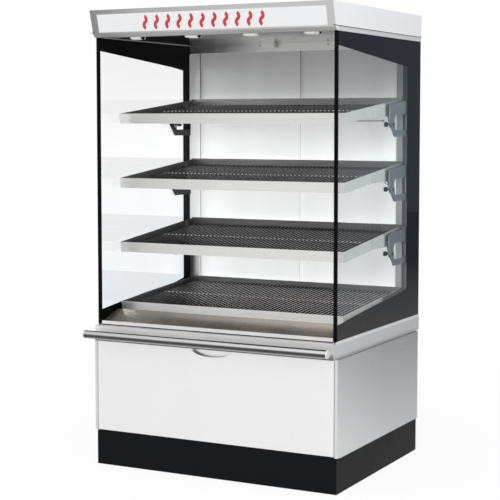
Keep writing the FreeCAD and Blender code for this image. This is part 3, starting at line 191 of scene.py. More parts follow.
# %% World
TOWARDS_BACK = (0.42, 0.9, 0.0)
FAR_ROOM = (0.16, 0.19, 0.23, 1.0)
world = bpy.data.worlds.new("studio")
bpy.context.scene.world = world
world.use_nodes = True
sky = world.node_tree
sky.nodes.clear()
towards = add(sky, "ShaderNodeTexCoord").outputs["Generated"]
behind = arith(sky, "MULTIPLY_ADD", vector_sum(sky, "DOT_PRODUCT", towards, TOWARDS_BACK), 0.5, 0.5)
mirror_grey = ramp(sky, behind, (0.0, 0.9), (0.4, 0.8), (0.78, 0.34), (1.0, FAR_ROOM))
# Further left the room is darker, so that front faces brighten towards the right.
rightwards = arith(sky, "MULTIPLY_ADD", xyz(sky, towards)["X"], 0.5, 0.5)
mirror_grey = vector_sum(sky, "MULTIPLY", mirror_grey, ramp(sky, rightwards, (0.08, 0.25), (0.33, 1.0)))
seen, mirrored = sight(sky)
room = mixed(sky, mirrored, (0.62, 0.63, 0.65), mirror_grey)
background = add(sky, "ShaderNodeBackground", Color=mixed(sky, seen, room, (1.0, 1.0, 1.0)))
sky.links.new(background.outputs[0], add(sky, "ShaderNodeOutputWorld").inputs["Surface"])
print("world nodes", len(sky.nodes))

# %% Lamps
AIM = Vector((0.0, 0.0, 0.85))


def soft_lamp(name, place, size, watts, tint=(1.0, 1.0, 1.0)):
    """A square area lamp that looks at the middle of the case."""
    data = bpy.data.lights.new(name, "AREA")
    data.shape = "SQUARE"
    data.size = size
    data.energy = watts
    data.color = tint
    lamp = bpy.data.objects.new(name, data)
    bpy.context.scene.collection.objects.link(lamp)
    lamp.location = place
    lamp.rotation_euler = (AIM - Vector(place)).to_track_quat("-Z", "Y").to_euler()
    lamp.visible_glossy = False
    return lamp


soft_lamp("key_lamp", (2.3, -3.9, 3.4), 2.6, 155.0)
soft_lamp("fill_lamp", (-3.4, -3.0, 2.2), 3.0, 70.0)
soft_lamp("back_lamp", (1.5, 4.0, 3.2), 3.0, 18.0)

# Each downlight throws a small warm patch on the deck in front of the shelves.
DOWNLIGHTS = (-0.382, -0.1273, 0.1273, 0.382)
DOWNLIGHT_DEPTH, DOWNLIGHT_HEIGHT = depth(-305.0), 1.597
for number, x in enumerate(DOWNLIGHTS):
    data = bpy.data.lights.new("downlight_beam_%d" % number, "SPOT")
    data.energy = 16.0
    data.color = (1.0, 0.82, 0.58)
    data.spot_size = math.radians(16)
    data.spot_blend = 1.0
    data.shadow_soft_size = 0.02
    beam = bpy.data.objects.new("downlight_beam_%d" % number, data)
    bpy.context.scene.collection.objects.link(beam)
    beam.location = (x, DOWNLIGHT_DEPTH, DOWNLIGHT_HEIGHT)

# %% [markdown]
# ## Floor
# The floor is plain and pale. The camera sees it almost white, so it merges with the
# background, but it still takes the soft shadow of the plinth.

# %% Floor
floor_mesh = bpy.data.meshes.new("studio_floor")
bm = bmesh.new()
bmesh.ops.create_grid(bm, x_segments=1, y_segments=1, size=14.0)
bm.to_mesh(floor_mesh)
bm.free()
floor = bpy.data.objects.new("studio_floor", floor_mesh)
bpy.context.scene.collection.objects.link(floor)

# Near the case the floor keeps a little of its own shade; further off it is white.
floor_finish = bpy.data.materials.new("floor_finish")
floor_finish.use_nodes = True
tree = floor_finish.node_tree
paint = tree.nodes["Principled BSDF"]
paint.inputs["Base Color"].default_value = (0.9, 0.9, 0.9, 1.0)
paint.inputs["Roughness"].default_value = 0.7
spot = add(tree, "ShaderNodeTexCoord").outputs["Object"]
looked_at, in_mirror = sight(tree)
nearness = span(tree, vector_sum(tree, "LENGTH", spot), 0.9, 1.0, 0.8, 2.6)
glow = add(tree, "ShaderNodeEmission", Color=(1.0, 1.0, 1.0, 1.0), Strength=1.0)
blend = add(tree, "ShaderNodeMixShader", Fac=arith(tree, "MULTIPLY", looked_at, nearness))
tree.links.new(paint.outputs[0], blend.inputs[1])
tree.links.new(glow.outputs[0], blend.inputs[2])

# In reflections the floor goes on like the room: bright in front, greyer behind.
FAR_FLOOR = (0.09, 0.11, 0.14, 1.0)
away = span(tree, vector_sum(tree, "DOT_PRODUCT", spot, TOWARDS_BACK), 0.0, 1.0, -3.0, 9.0)
floor_grey = ramp(tree, away, (0.0, 0.9), (0.3, 0.84), (0.42, 0.6), (0.57, 0.36), (0.9, FAR_FLOOR))
mirror_floor = add(tree, "ShaderNodeEmission", Strength=1.0, Color=floor_grey)
either = add(tree, "ShaderNodeMixShader", Fac=in_mirror)
tree.links.new(blend.outputs[0], either.inputs[1])
tree.links.new(mirror_floor.outputs[0], either.inputs[2])
tree.links.new(either.outputs[0], tree.nodes["Material Output"].inputs["Surface"])

floor_mesh.materials.append(floor_finish)
print("floor", tuple(round(v, 1) for v in floor.dimensions))

# %% [markdown]
# ## Shared surface effects
# Sheet steel is ground with a belt, which leaves fine lines in one direction. A node
# group draws such lines once, for any direction: it stretches noise along the grain.
# A second output is a slow cloud, for the faint unevenness that a sheet always has.
# Smudges and dust get a group each, because nearly every finish uses them.

# %% Group helper
def group(name, inputs, outputs):
    """An empty shader group with named sockets, and its input and output nodes."""
    made = bpy.data.node_groups.new(name, "ShaderNodeTree")
    for socket, kind in inputs:
        made.interface.new_socket(socket, in_out="INPUT", socket_type="NodeSocket" + kind)
    for socket, kind in outputs:
        made.interface.new_socket(socket, in_out="OUTPUT", socket_type="NodeSocket" + kind)
    return made, made.nodes.new("NodeGroupInput"), made.nodes.new("NodeGroupOutput")


print("group helper ready")

# %% Grain group
grain_group, given, result = group(
    "grain", [("Place", "Vector"), ("Stretch", "Vector")], [("Line", "Float"), ("Cloud", "Float")])
stretched = vector_sum(grain_group, "MULTIPLY", given.outputs["Place"], given.outputs["Stretch"])
lines = add(grain_group, "ShaderNodeTexNoise", Vector=stretched, Scale=1.0, Detail=5.0, Roughness=0.62)
cloud = add(grain_group, "ShaderNodeTexNoise", Vector=given.outputs["Place"], Scale=3.1, Detail=2.0,
            Roughness=0.5)
grain_group.links.new(lines.outputs["Fac"], result.inputs["Line"])
grain_group.links.new(cloud.outputs["Fac"], result.inputs["Cloud"])
print("grain", [s.name for s in grain_group.interface.items_tree])

# %% Smudge group
smudge_group, given, result = group(
    "smudges", [("Place", "Vector"), ("Size", "Float"), ("Amount", "Float")], [("Mask", "Float")])
patches = add(smudge_group, "ShaderNodeTexNoise", Vector=given.outputs["Place"],
              Scale=given.outputs["Size"], Detail=3.0, Roughness=0.6, Distortion=0.8)
fine = add(smudge_group, "ShaderNodeTexVoronoi", Vector=given.outputs["Place"], Scale=62.0)
where = span(smudge_group, patches.outputs["Fac"], 0.0, 1.0, 0.52, 0.72)
spots = span(smudge_group, fine.outputs["Distance"], 0.0, 1.0, 0.75, 0.1)
mask = arith(smudge_group, "MULTIPLY", where, spots)
mask = arith(smudge_group, "MULTIPLY", mask, given.outputs["Amount"])
smudge_group.links.new(mask, result.inputs["Mask"])
print("smudges ready")

# %% Dust group
dust_group, given, result = group(
    "dust", [("Place", "Vector"), ("Facing", "Vector"), ("Amount", "Float")], [("Mask", "Float")])
settled = along(dust_group, given.outputs["Facing"], "Z", 0.5, 1.0)
specks = add(dust_group, "ShaderNodeTexNoise", Vector=given.outputs["Place"], Scale=210.0, Detail=4.0)
mask = arith(dust_group, "MULTIPLY", settled, specks.outputs["Fac"])
mask = arith(dust_group, "MULTIPLY", mask, given.outputs["Amount"])
dust_group.links.new(mask, result.inputs["Mask"])
print("groups", [g.name for g in bpy.data.node_groups])

# %% [markdown]
# ## Finishes
# Each finish is a Principled BSDF whose steady numbers stay on its own sockets. What
# changes over the surface comes from the groups: lines and clouds move the colour and
# the roughness a little, and a bump gives the grain its depth.

# %% Finish helpers
def finish(name, colour, rough, metal=0.0, **plain):
    """A material, its tree and its Principled node, with the object's own coordinates."""
    made = bpy.data.materials.new(name)
    made.use_nodes = True
    shader = made.node_tree.nodes["Principled BSDF"]
    shader.inputs["Base Color"].default_value = (*colour, 1.0)
    shader.inputs["Roughness"].default_value = rough
    shader.inputs["Metallic"].default_value = metal
    for socket, value in plain.items():
        shader.inputs[socket.replace("_", " ")].default_value = value
    place = add(made.node_tree, "ShaderNodeTexCoord").outputs["Object"]
    return made, made.node_tree, shader, place


def use(tree, shared, **inputs):
    """A shared group placed in a material."""
    node = tree.nodes.new("ShaderNodeGroup")
    node.node_tree = shared
    for name, value in inputs.items():
        if isinstance(value, bpy.types.NodeSocket):
            tree.links.new(value, node.inputs[name])
        else:
            node.inputs[name].default_value = value
    return node.outputs


def opened(surface):
    """The tree, the Principled node and the object's coordinates of a made finish."""
    tree = surface.node_tree
    place = next(n for n in tree.nodes if n.type == "TEX_COORD").outputs["Object"]
    return tree, tree.nodes["Principled BSDF"], place


def own_colour(shader):
    """What feeds the finish's colour so far."""
    return shader.inputs["Base Color"].links[0].from_socket


def overlay(tree, shader, mask, colour):
    """Lays a colour over the finish's own where the mask is high."""
    tree.links.new(mixed(tree, mask, own_colour(shader), colour), shader.inputs["Base Color"])


def underlay(tree, shader, mask, colour):
    """Shows a colour where the mask is low and the finish's own where it is high."""
    tree.links.new(mixed(tree, mask, colour, own_colour(shader)), shader.inputs["Base Color"])


def filtered(tree, shader, colour):
    """Multiplies the finish's own colour by another."""
    product = vector_sum(tree, "MULTIPLY", colour, own_colour(shader))
    tree.links.new(product, shader.inputs["Base Color"])


def relief(tree, shader, height, distance, strength=1.0):
    """A bump on the shader's normal; distance is in metres."""
    bump = add(tree, "ShaderNodeBump", Height=height, Distance=distance, Strength=strength)
    tree.links.new(bump.outputs["Normal"], shader.inputs["Normal"])


print("finish helpers ready")

# %% [markdown]
# ### Brushed steel
# Most of the case is brushed stainless sheet. On the base and the canopy the lines
# run level, on the uprights they run up. One function makes both, and a warmer sheet
# is only another colour. The brighter and darker sheets are lit and shaded copies of
# one steel: their colours paint the light and shade that each part takes. Hands
# touch the flap and the rims, so smudges make the sheet a little rougher there.

# %% Brushed steel
def brushed(name, colour, stretch, rough=(0.26, 0.4), smudge=0.5, metal=0.9, contrast=0.12):
    """Brushed sheet; stretch is how fast the noise runs along X, Y and Z."""
    made, tree, shader, place = finish(name, colour, rough[0], metal)
    grain = use(tree, grain_group, Place=place, Stretch=stretch)
    marks = use(tree, smudge_group, Place=place, Size=5.0, Amount=smudge)
    shade = arith(tree, "MULTIPLY_ADD", grain["Cloud"], 0.4, span(tree, grain["Line"], -0.2, 0.8))
    dark = tuple(c * (1 - contrast) for c in colour)
    light = tuple(min(1.0, c * (1 + contrast)) for c in colour)
    tree.links.new(mixed(tree, shade, dark, light), shader.inputs["Base Color"])
    lined = span(tree, grain["Line"], rough[0], rough[1], 0.3, 0.7)
    tree.links.new(arith(tree, "MULTIPLY_ADD", marks["Mask"], 0.12, lined), shader.inputs["Roughness"])
    relief(tree, shader, grain["Line"], 0.00006, 0.5)
    return made


LEVEL = (6.0, 520.0, 520.0)
UPRIGHT = (520.0, 520.0, 6.0)
INWARD = (520.0, 6.0, 520.0)
# The flap's near-white colour is painted light; the darker colours of the base's side, the brackets and
# the canopy are painted shade.
steel_level = brushed("steel_level", (0.78, 0.78, 0.77), LEVEL)
steel_side = brushed("steel_side", (0.66, 0.665, 0.67), INWARD)
steel_counter = brushed("steel_counter", (0.76, 0.76, 0.755), LEVEL, metal=0.55)
steel_flap = brushed("steel_flap", (0.985, 0.985, 0.98), LEVEL, contrast=0.05)
steel_upright = brushed("steel_upright", (0.8, 0.81, 0.82), UPRIGHT, rough=(0.3, 0.45))
steel_shelf = brushed("steel_shelf", (0.76, 0.755, 0.745), LEVEL, rough=(0.24, 0.38))
steel_warm = brushed("steel_warm", (0.6, 0.56, 0.52), LEVEL, rough=(0.22, 0.36), smudge=0.9,
                     contrast=0.09)
steel_plate = brushed("steel_plate", (0.006, 0.0068, 0.008), LEVEL, rough=(0.2, 0.34), smudge=0.9,
                      metal=0.0, contrast=0.3)
steel_plate.node_tree.nodes["Principled BSDF"].inputs["Specular IOR Level"].default_value = 0.03
steel_bracket = brushed("steel_bracket", (0.6, 0.61, 0.62), UPRIGHT, rough=(0.3, 0.45))
canopy_steel = brushed("canopy_steel", (0.6, 0.6, 0.595), LEVEL)

print("steels", [m.name for m in bpy.data.materials if m.name.startswith("steel")])

# %% [markdown]
# Sheet steel is a mirror for its neighbours, which the room above doesn't hold. So
# each sheet gets its own shades, laid over its colour where the photograph has them.

# %% Shades of the shelves
# The left ends of the shelves lie in the canopy's shade, and the top one most of all.
SHELF_LEFT = -0.48
MIDDLE_SHELF, TOP_SHELF = 1.05, 1.25
ARM_START = depth(95.0)
PLATE_REAR = 0.1
tree, shader, place = opened(steel_shelf)
at = xyz(tree, place)
looks = face_normal(tree)
overlay(tree, shader, span(tree, at["X"], 0.4, 0.0, SHELF_LEFT, 0.0), (0.25, 0.245, 0.24))
overlay(tree, shader, span(tree, at["Z"], 0.12, 0.0, MIDDLE_SHELF, TOP_SHELF), (1.0, 1.0, 0.99))

# The inner walls of a pan, on the left and at the back, mirror the dark plate.
rightwards = arith(tree, "GREATER_THAN", looks["X"], 0.6)
forwards = arith(tree, "LESS_THAN", looks["Y"], -0.6)
left_wall = arith(tree, "MULTIPLY", rightwards, arith(tree, "LESS_THAN", at["X"], 0.0))
rear_wall = arith(tree, "MULTIPLY", forwards, arith(tree, "GREATER_THAN", at["Y"], PLATE_REAR))
inner_wall = arith(tree, "MULTIPLY_ADD", left_wall, 0.58, arith(tree, "MULTIPLY", rear_wall, 0.36))
overlay(tree, shader, inner_wall, (0.08, 0.082, 0.086))

# The outer right sides are satin like the canopy's; the arms behind them are bare.
pan_front = arith(tree, "LESS_THAN", at["Y"], ARM_START)
right_half = arith(tree, "GREATER_THAN", at["X"], 0.0)
pale_side = arith(tree, "MULTIPLY", rightwards, arith(tree, "MULTIPLY", pan_front, right_half))
tree.links.new(span(tree, pale_side, 0.9, 0.15), shader.inputs["Metallic"])
overlay(tree, shader, pale_side, (0.88, 0.88, 0.87))
print("shelf shades laid")

# %% Shades of the base and the back
# The base's side mirrors a bright screen in front and a dimmer one behind.
BASE_FRONT, BASE_MIDDLE = depth(-380.0), depth(50.0)
COUNTER_FOOT, COUNTER_TOP = 0.476, 0.533
POST_FOOT, POST_TOP = 0.55, 1.6
tree, shader, place = opened(steel_side)
ahead = span(tree, xyz(tree, place)["Y"], 0.4, 0.0, BASE_FRONT, BASE_MIDDLE)
overlay(tree, shader, ahead, (0.95, 0.95, 0.95))

# The uprights lie in deeper shade the nearer they come to the canopy.
tree, shader, place = opened(steel_upright)
gloom = ramp(tree, along(tree, place, "Z", POST_FOOT, POST_TOP), (0.0, 0.0), (0.14, 0.0),
             (0.3, 0.1), (0.7, 0.25), (0.85, 0.75))
overlay(tree, shader, gloom, (0.05, 0.053, 0.057))

# The counter's front curves away from the light below, so its foot is darker.
tree, shader, place = opened(steel_counter)
lit = ramp(tree, along(tree, place, "Z", COUNTER_FOOT, COUNTER_TOP), (0.0, 0.0), (0.2, 0.15),
           (0.5, 0.85), (1.0, 1.0))
sideways = arith(tree, "GREATER_THAN", arith(tree, "ABSOLUTE", face_normal(tree)["X"]), 0.5)
underlay(tree, shader, arith(tree, "MAXIMUM", lit, sideways), (0.12, 0.12, 0.12))

# The deck lies in the left sheet's shade at its left end.
tree, shader, place = opened(steel_warm)
overlay(tree, shader, span(tree, xyz(tree, place)["X"], 0.75, 0.1, -0.45, 0.3), (0.2, 0.18, 0.165))

# The plates mirror broken pieces of the room: a few bluish patches among the black.
tree, shader, place = opened(steel_plate)
stretched = vector_sum(tree, "MULTIPLY", place, (5.2, 3.4, 9.0))
block = add(tree, "ShaderNodeTexVoronoi", Vector=stretched, Scale=1.0)
tone = add(tree, "ShaderNodeSeparateColor", i0=block.outputs["Color"]).outputs[0]
overlay(tree, shader, span(tree, tone, 0.0, 1.0, 0.35, 0.9), (0.032, 0.036, 0.043))

# The left brackets stand in the shade of the printed band and look black.
tree, shader, place = opened(steel_bracket)
underlay(tree, shader, along(tree, place, "X", -0.3, 0.3), (0.03, 0.031, 0.033))
print("base and back shades laid")

# %% Shades of the canopy
# The canopy's sides have a satin coat over the steel: they stay pale where bare steel
# would mirror the darker end of the room. The mask is how far a face looks sideways.
# Across the front a painted reflection darkens the left end, as of a dim corner of the room, and leaves
# the right end bright.
CANOPY_HALF = 0.49
tree, shader, place = opened(canopy_steel)
sideways = span(tree, arith(tree, "ABSOLUTE", face_normal(tree)["X"]), 0.0, 1.0, 0.45, 0.8)
tree.links.new(span(tree, sideways, 0.9, 0.1), shader.inputs["Metallic"])
painted_dim_corner = ramp(tree, along(tree, place, "X", -CANOPY_HALF, CANOPY_HALF), (0.0, 0.8), (0.2, 0.35),
            (0.6, 0.04), (1.0, 0.0))
overlay(tree, shader, painted_dim_corner, (0.2, 0.2, 0.2))
overlay(tree, shader, sideways, (0.96, 0.96, 0.96))
print("canopy", canopy_steel.name)

# %% [markdown]
# ### Chrome, zinc and galvanised sheet
# Drawn rod is nearly a mirror, so it needs fine scratches in its roughness; the rack wires and the rail
# tube also carry painted highlights and painted reflections in their colour.
# Zinc is duller and slightly blue. Galvanised sheet has flat crystals, which cells of
# a Voronoi texture show well.

# %% Bright metals
def rod_finish(name, colour, rough, stretch):
    """Drawn rod or plain metal; stretch is how fast the noise runs along X, Y and Z."""
    made, tree, shader, place = finish(name, colour, rough, 1.0)
    grain = use(tree, grain_group, Place=place, Stretch=stretch)
    tree.links.new(span(tree, grain["Line"], rough * 0.5, rough * 1.8, 0.3, 0.7),
                   shader.inputs["Roughness"])
    tree.links.new(mixed(tree, grain["Cloud"], tuple(c * 0.9 for c in colour), colour),
                   shader.inputs["Base Color"])
    relief(tree, shader, grain["Line"], 0.00002, 0.3)
    return made


chrome = rod_finish("chrome", (0.82, 0.82, 0.82), 0.08, (8.0, 300.0, 300.0))
rack_wire = rod_finish("rack_wire", (0.8, 0.8, 0.8), 0.12, (300.0, 8.0, 300.0))

# A thin rod has its highlight along the top and mirrors the dark plate below. The
# tray's rods, under the open front, get the most light.
TRAY_TOP = 0.72
tree, shader, place = opened(rack_wire)
crest = ramp(tree, face_normal(tree, "Normal")["Z"], (0.0, 0.01), (0.8, 0.02), (0.95, 0.3), (1.0, 0.8))
filtered(tree, shader, crest)
on_tray = arith(tree, "LESS_THAN", xyz(tree, place)["Z"], TRAY_TOP)
lifted = scaled(tree, own_colour(shader), span(tree, on_tray, 1.0, 2.3))
tree.links.new(lifted, shader.inputs["Base Color"])

weld_metal = rod_finish("weld_metal", (0.95, 0.95, 0.95), 0.4, (300.0, 300.0, 300.0))
weld_metal.node_tree.nodes["Principled BSDF"].inputs["Metallic"].default_value = 0.3

# The tube mirrors a layered room: ceiling dark, window bright, floor dark, floor pale.
rail_chrome = rod_finish("rail_chrome", (0.98, 0.98, 0.98), 0.1, (8.0, 300.0, 300.0))
tree, shader = opened(rail_chrome)[:2]
tilt = arith(tree, "MULTIPLY_ADD", face_normal(tree, "Normal")["Z"], 0.5, 0.5)
filtered(tree, shader, ramp(tree, tilt, (0.0, 0.62), (0.16, 0.3), (0.3, 0.08), (0.5, 0.08), (0.6, 0.5),
                            (0.66, 1.0), (0.9, 1.0), (0.96, 0.06)))

zinc = rod_finish("zinc", (0.62, 0.63, 0.64), 0.36, (120.0, 120.0, 120.0))

galvanised, tree, shader, place = finish("galvanised", (0.55, 0.56, 0.57), 0.42, 0.9)
crystal = add(tree, "ShaderNodeTexVoronoi", Vector=place, Scale=90.0)
flake = add(tree, "ShaderNodeSeparateColor", i0=crystal.outputs["Color"]).outputs[0]
tree.links.new(mixed(tree, flake, (0.46, 0.47, 0.48), (0.64, 0.65, 0.66)), shader.inputs["Base Color"])
tree.links.new(span(tree, flake, 0.3, 0.55), shader.inputs["Roughness"])
print("bright metals", chrome.name, rack_wire.name, zinc.name, galvanised.name)

# %% [markdown]
# ### Dark and pale finishes
# The plinth is powder coated: a fine orange peel and a satin gloss. The ceiling is a
# glossy dark sheet that mirrors the shelves. Black plastic has a fine grain. The sign
# and the lenses are opal plastic, which glows a little.

# %% Coats and plastics
def coat(name, colour, rough, scale, depth_m, dust=0.0, spread=0.25, **plain):
    """Paint or plastic with a fine all-over grain."""
    made, tree, shader, place = finish(name, colour, rough, **plain)
    peel = add(tree, "ShaderNodeTexNoise", Vector=place, Scale=scale, Detail=3.0).outputs["Fac"]
    marks = use(tree, smudge_group, Place=place, Size=7.0, Amount=0.5)["Mask"]
    facing = add(tree, "ShaderNodeNewGeometry").outputs["Normal"]
    settled = use(tree, dust_group, Place=place, Facing=facing, Amount=dust)["Mask"]
    base = mixed(tree, peel, tuple(c * (1 - spread) for c in colour),
                 tuple(min(1.0, c * (1 + spread)) for c in colour))
    tree.links.new(mixed(tree, settled, base, (0.42, 0.41, 0.39)), shader.inputs["Base Color"])
    worn = span(tree, peel, rough * 0.8, rough * 1.25, 0.3, 0.7)
    tree.links.new(arith(tree, "MULTIPLY_ADD", marks, 0.15, worn), shader.inputs["Roughness"])
    relief(tree, shader, peel, depth_m, 0.6)
    return made


plinth_coat = coat("plinth_coat", (0.005, 0.0053, 0.006), 0.42, 700.0, 0.00006, dust=0.03,
                   Specular_IOR_Level=0.07)
black_plastic = coat("black_plastic", (0.018, 0.018, 0.02), 0.42, 900.0, 0.0001)
print_black = coat("print_black", (0.003, 0.0032, 0.004), 0.3, 300.0, 0.00001, Specular_IOR_Level=0.05)
pale_plastic = coat("pale_plastic", (0.62, 0.62, 0.6), 0.35, 600.0, 0.00005, spread=0.05)
ceiling_gloss = coat("ceiling_gloss", (0.02, 0.021, 0.024), 0.1, 24.0, 0.0001)
trim_black = coat("trim_black", (0.0025, 0.0026, 0.003), 0.5, 900.0, 0.00002, Specular_IOR_Level=0.05)
board = coat("board", (0.5, 0.48, 0.42), 0.8, 260.0, 0.0004, spread=0.15)
lamp_body = coat("lamp_body", (0.5, 0.5, 0.5), 0.5, 500.0, 0.00005, spread=0.08)
anodised = brushed("anodised", (0.82, 0.82, 0.82), LEVEL, rough=(0.34, 0.46), smudge=0.2, metal=0.3)
heater = brushed("heater", (0.16, 0.14, 0.13), (40.0, 200.0, 200.0), rough=(0.45, 0.65), smudge=0.3,
                 contrast=0.3)
switch_green = coat("switch_green", (0.03, 0.32, 0.07), 0.2, 400.0, 0.00002, spread=0.1)
print("coats done")

# %% Opal panels
def opal(name, colour, glow):
    """Opal plastic: pale, smooth, lit from behind."""
    made, tree, shader, place = finish(name, colour, 0.22)
    haze = add(tree, "ShaderNodeTexNoise", Vector=place, Scale=14.0, Detail=2.0).outputs["Fac"]
    tree.links.new(mixed(tree, haze, tuple(c * 0.97 for c in colour), colour),
                   shader.inputs["Base Color"])
    tree.links.new(span(tree, haze, 0.18, 0.28), shader.inputs["Roughness"])
    shader.inputs["Emission Color"].default_value = (*colour, 1.0)
    shader.inputs["Emission Strength"].default_value = glow
    return made


sign_opal = opal("sign_opal", (0.59, 0.59, 0.59), 0.03)
lens_opal = opal("lens_opal", (0.5, 0.47, 0.4), 0.05)

# Polished steel shows each lens as a warm spot, brighter than the lens itself looks.
tree, shader = opened(lens_opal)[:2]
in_steel = add(tree, "ShaderNodeLightPath").outputs["Is Glossy Ray"]
tree.links.new(arith(tree, "MULTIPLY_ADD", in_steel, 1.0, 0.05), shader.inputs["Emission Strength"])
print("opal", sign_opal.name, lens_opal.name)

# %% [markdown]
# ### Glass
# The side sheets are 8 mm float glass with its usual faint green. A path tracer stops
# light at glass, so shadow rays pass straight through, and the inside stays bright.
# The sliding doors at the back are frosted white: they hide the room and get darker
# towards the top, where less light reaches them.

# %% Glass
def clear_glass(name, colour):
    """Float glass: tinted on the right, clearer on the left, where a painted grey-blue reflection covers
    the lower end.
    """
    made, tree, shader, place = finish(name, colour, 0.0, IOR=1.5)
    shader.inputs["Transmission Weight"].default_value = 1.0
    # On the left sheet a grey-blue reflection is painted over the lower end, fading out upwards.
    left = mixed(tree, along(tree, place, "Z", 0.55, 1.15), (0.9, 0.93, 0.955), (0.995, 0.998, 0.998))
    tint = mixed(tree, along(tree, place, "X", -0.1, 0.1), left, colour)
    tree.links.new(tint, shader.inputs["Base Color"])
    marks = use(tree, smudge_group, Place=place, Size=3.0, Amount=1.0)["Mask"]
    tree.links.new(arith(tree, "MULTIPLY", marks, 0.008), shader.inputs["Roughness"])
    through = add(tree, "ShaderNodeBsdfTransparent", Color=(*colour, 1.0))
    shadow = add(tree, "ShaderNodeLightPath").outputs["Is Shadow Ray"]
    pick = add(tree, "ShaderNodeMixShader", Fac=shadow)
    tree.links.new(shader.outputs[0], pick.inputs[1])
    tree.links.new(through.outputs[0], pick.inputs[2])
    tree.links.new(pick.outputs[0], tree.nodes["Material Output"].inputs["Surface"])
    return made


side_glass = clear_glass("side_glass", (0.965, 0.988, 0.986))

DIM_FROM, DOOR_TOP = 1.2, 1.62
door_frost, tree, shader, place = finish("door_frost", (0.85, 0.85, 0.85), 0.3)
# Painted shade darkens the doors towards the top.
top_shade = ramp(tree, along(tree, place, "Z", DIM_FROM, DOOR_TOP), (0.0, 0.98), (0.3, 0.69),
            (0.52, 0.41), (0.8, 0.31), (1.0, 0.24))
# The brightness also varies in soft bands from side to side.
across = vector_sum(tree, "MULTIPLY", place, (3.0, 0.0, 0.0))
brightness_bands = add(tree, "ShaderNodeTexNoise", Vector=across, Scale=2.2, Detail=1.0)
soft = span(tree, brightness_bands.outputs["Fac"], 0.94, 1.06, 0.3, 0.7)
top_shade = vector_sum(tree, "MULTIPLY", top_shade, soft)

# The doors carry a painted glow, as if lit through from behind: the faces towards the shelves glow, and
# those towards the back don't and are painted darker.
rearwards = face_normal(tree)["Y"]
rear_shaded = scaled(tree, top_shade, span(tree, rearwards, 1.0, 0.55, -0.5, 0.5))
tree.links.new(rear_shaded, shader.inputs["Base Color"])
inner_light = scaled(tree, top_shade, span(tree, rearwards, 1.0, 0.0, -0.9, 0.15))
tree.links.new(inner_light, shader.inputs["Emission Color"])
shader.inputs["Emission Strength"].default_value = 0.61
print("glass", side_glass.name, door_frost.name)

# %% Dress the nodes
KNOBS = ["shelf_%d_knob_%s" % (number, side) for number in (1, 2, 3) for side in ("right", "left")]
FINISHES = {
    steel_level: ["door_header", "rear_panel", "air_probe"],
    steel_flap: ["front_flap", "front_lip"],
    steel_counter: ["counter_frame"],
    canopy_steel: ["canopy_shell"],
    steel_side: ["side_panels"],
    steel_upright: ["rear_uprights", "tray_supports"],
    steel_bracket: ["shelf_brackets"],
    steel_shelf: ["shelf_1_pan", "shelf_2_pan", "shelf_3_pan", "bottom_tray_pan"],
    steel_warm: ["front_deck"],
    steel_plate: ["shelf_1_plate", "shelf_2_plate", "shelf_3_plate", "bottom_tray_plate"],
    rack_wire: ["shelf_1_rack", "shelf_2_rack", "shelf_3_rack", "bottom_tray_rack"],
    rail_chrome: ["rail_tube"],
    chrome: ["rail_studs", "downlight_rings", "sensor_tube"],
    zinc: ["levelling_feet", "flap_hinge_pins", "shelf_pivot_bolts"],
    galvanised: ["floor_pan", "blower_wheel"],
    plinth_coat: ["plinth"],
    trim_black: ["glass_edge_trims"],
    black_plastic: ["flap_catches", "control_plate", "thermostat_dial", "electrics_box",
                    "cable_gland", *KNOBS],
    pale_plastic: ["rail_end_caps"],
    ceiling_gloss: ["ceiling_panel"],
    board: ["plenum_floor"],
    lamp_body: ["sign_light_box", "blower_motor"],
    anodised: ["glass_channels", "door_sill"],
    heater: ["heating_elements"],
    switch_green: ["power_switch"],
    sign_opal: ["sign_panel"],
    lens_opal: ["downlight_lenses"],
    side_glass: ["side_glasses"],
    door_frost: ["rear_door_left", "rear_door_right"],
}
dressed = set()
for surface, names in FINISHES.items():
    for name in names:
        slots = nodes[name].material_slots
        if not slots:
            nodes[name].data.materials.append(surface)
        for slot in slots:
            slot.material = surface
        dressed.add(name)
print("dressed", len(dressed), "of", len(nodes), "left", sorted(set(nodes) - dressed))

# %% [markdown]
# ## Printed border on the side glasses
# The sheets carry a black printed band at the top, at the back and at the bottom. It
# hides the frame behind it. The print is as thin as paint, so it is a sheet of its
# own, 0.2 mm thick, on the inner face. Its outline is one flat face, which then gets
# its thickness.

# %% Piece helpers
def piece(name, bm, surface, body="cabinet"):
    """A finished bmesh as an object that rides on a body of the frame."""
    bmesh.ops.remove_doubles(bm, verts=bm.verts, dist=1e-6)
    bmesh.ops.recalc_face_normals(bm, faces=bm.faces)
    mesh = bpy.data.meshes.new(name)
    bm.to_mesh(mesh)
    bm.free()
    mesh.materials.append(surface)
    made = bpy.data.objects.new(name, mesh)
    bpy.context.scene.collection.objects.link(made)
    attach(made, body)
    return made


def spun(bm, points, steps, axis=(0, 0, 1), centre=(0, 0, 0), closed=False):
    """A profile through the points, spun once round an axis through the centre."""
    line = [bm.verts.new(point) for point in points]
    following = line[1:] + line[:1] if closed else line[1:]
    edges = [bm.edges.new(pair) for pair in zip(line, following)]
    bmesh.ops.spin(bm, geom=line + edges, cent=centre, axis=axis, dvec=(0, 0, 0),
                   angle=2 * math.pi, steps=steps, use_merge=True)


print("piece helpers ready")

# %% Glass border
BORDER = [(-378, 537), (418, 537), (418, 1604), (-378, 1604), (-378, 1557), (156, 1513),
          (285, 1503), (291, 650), (166, 637), (-31, 623), (-207, 608), (-378, 590)]
PRINT_FACE = 0.4796
PRINT_THICKNESS = 0.0002
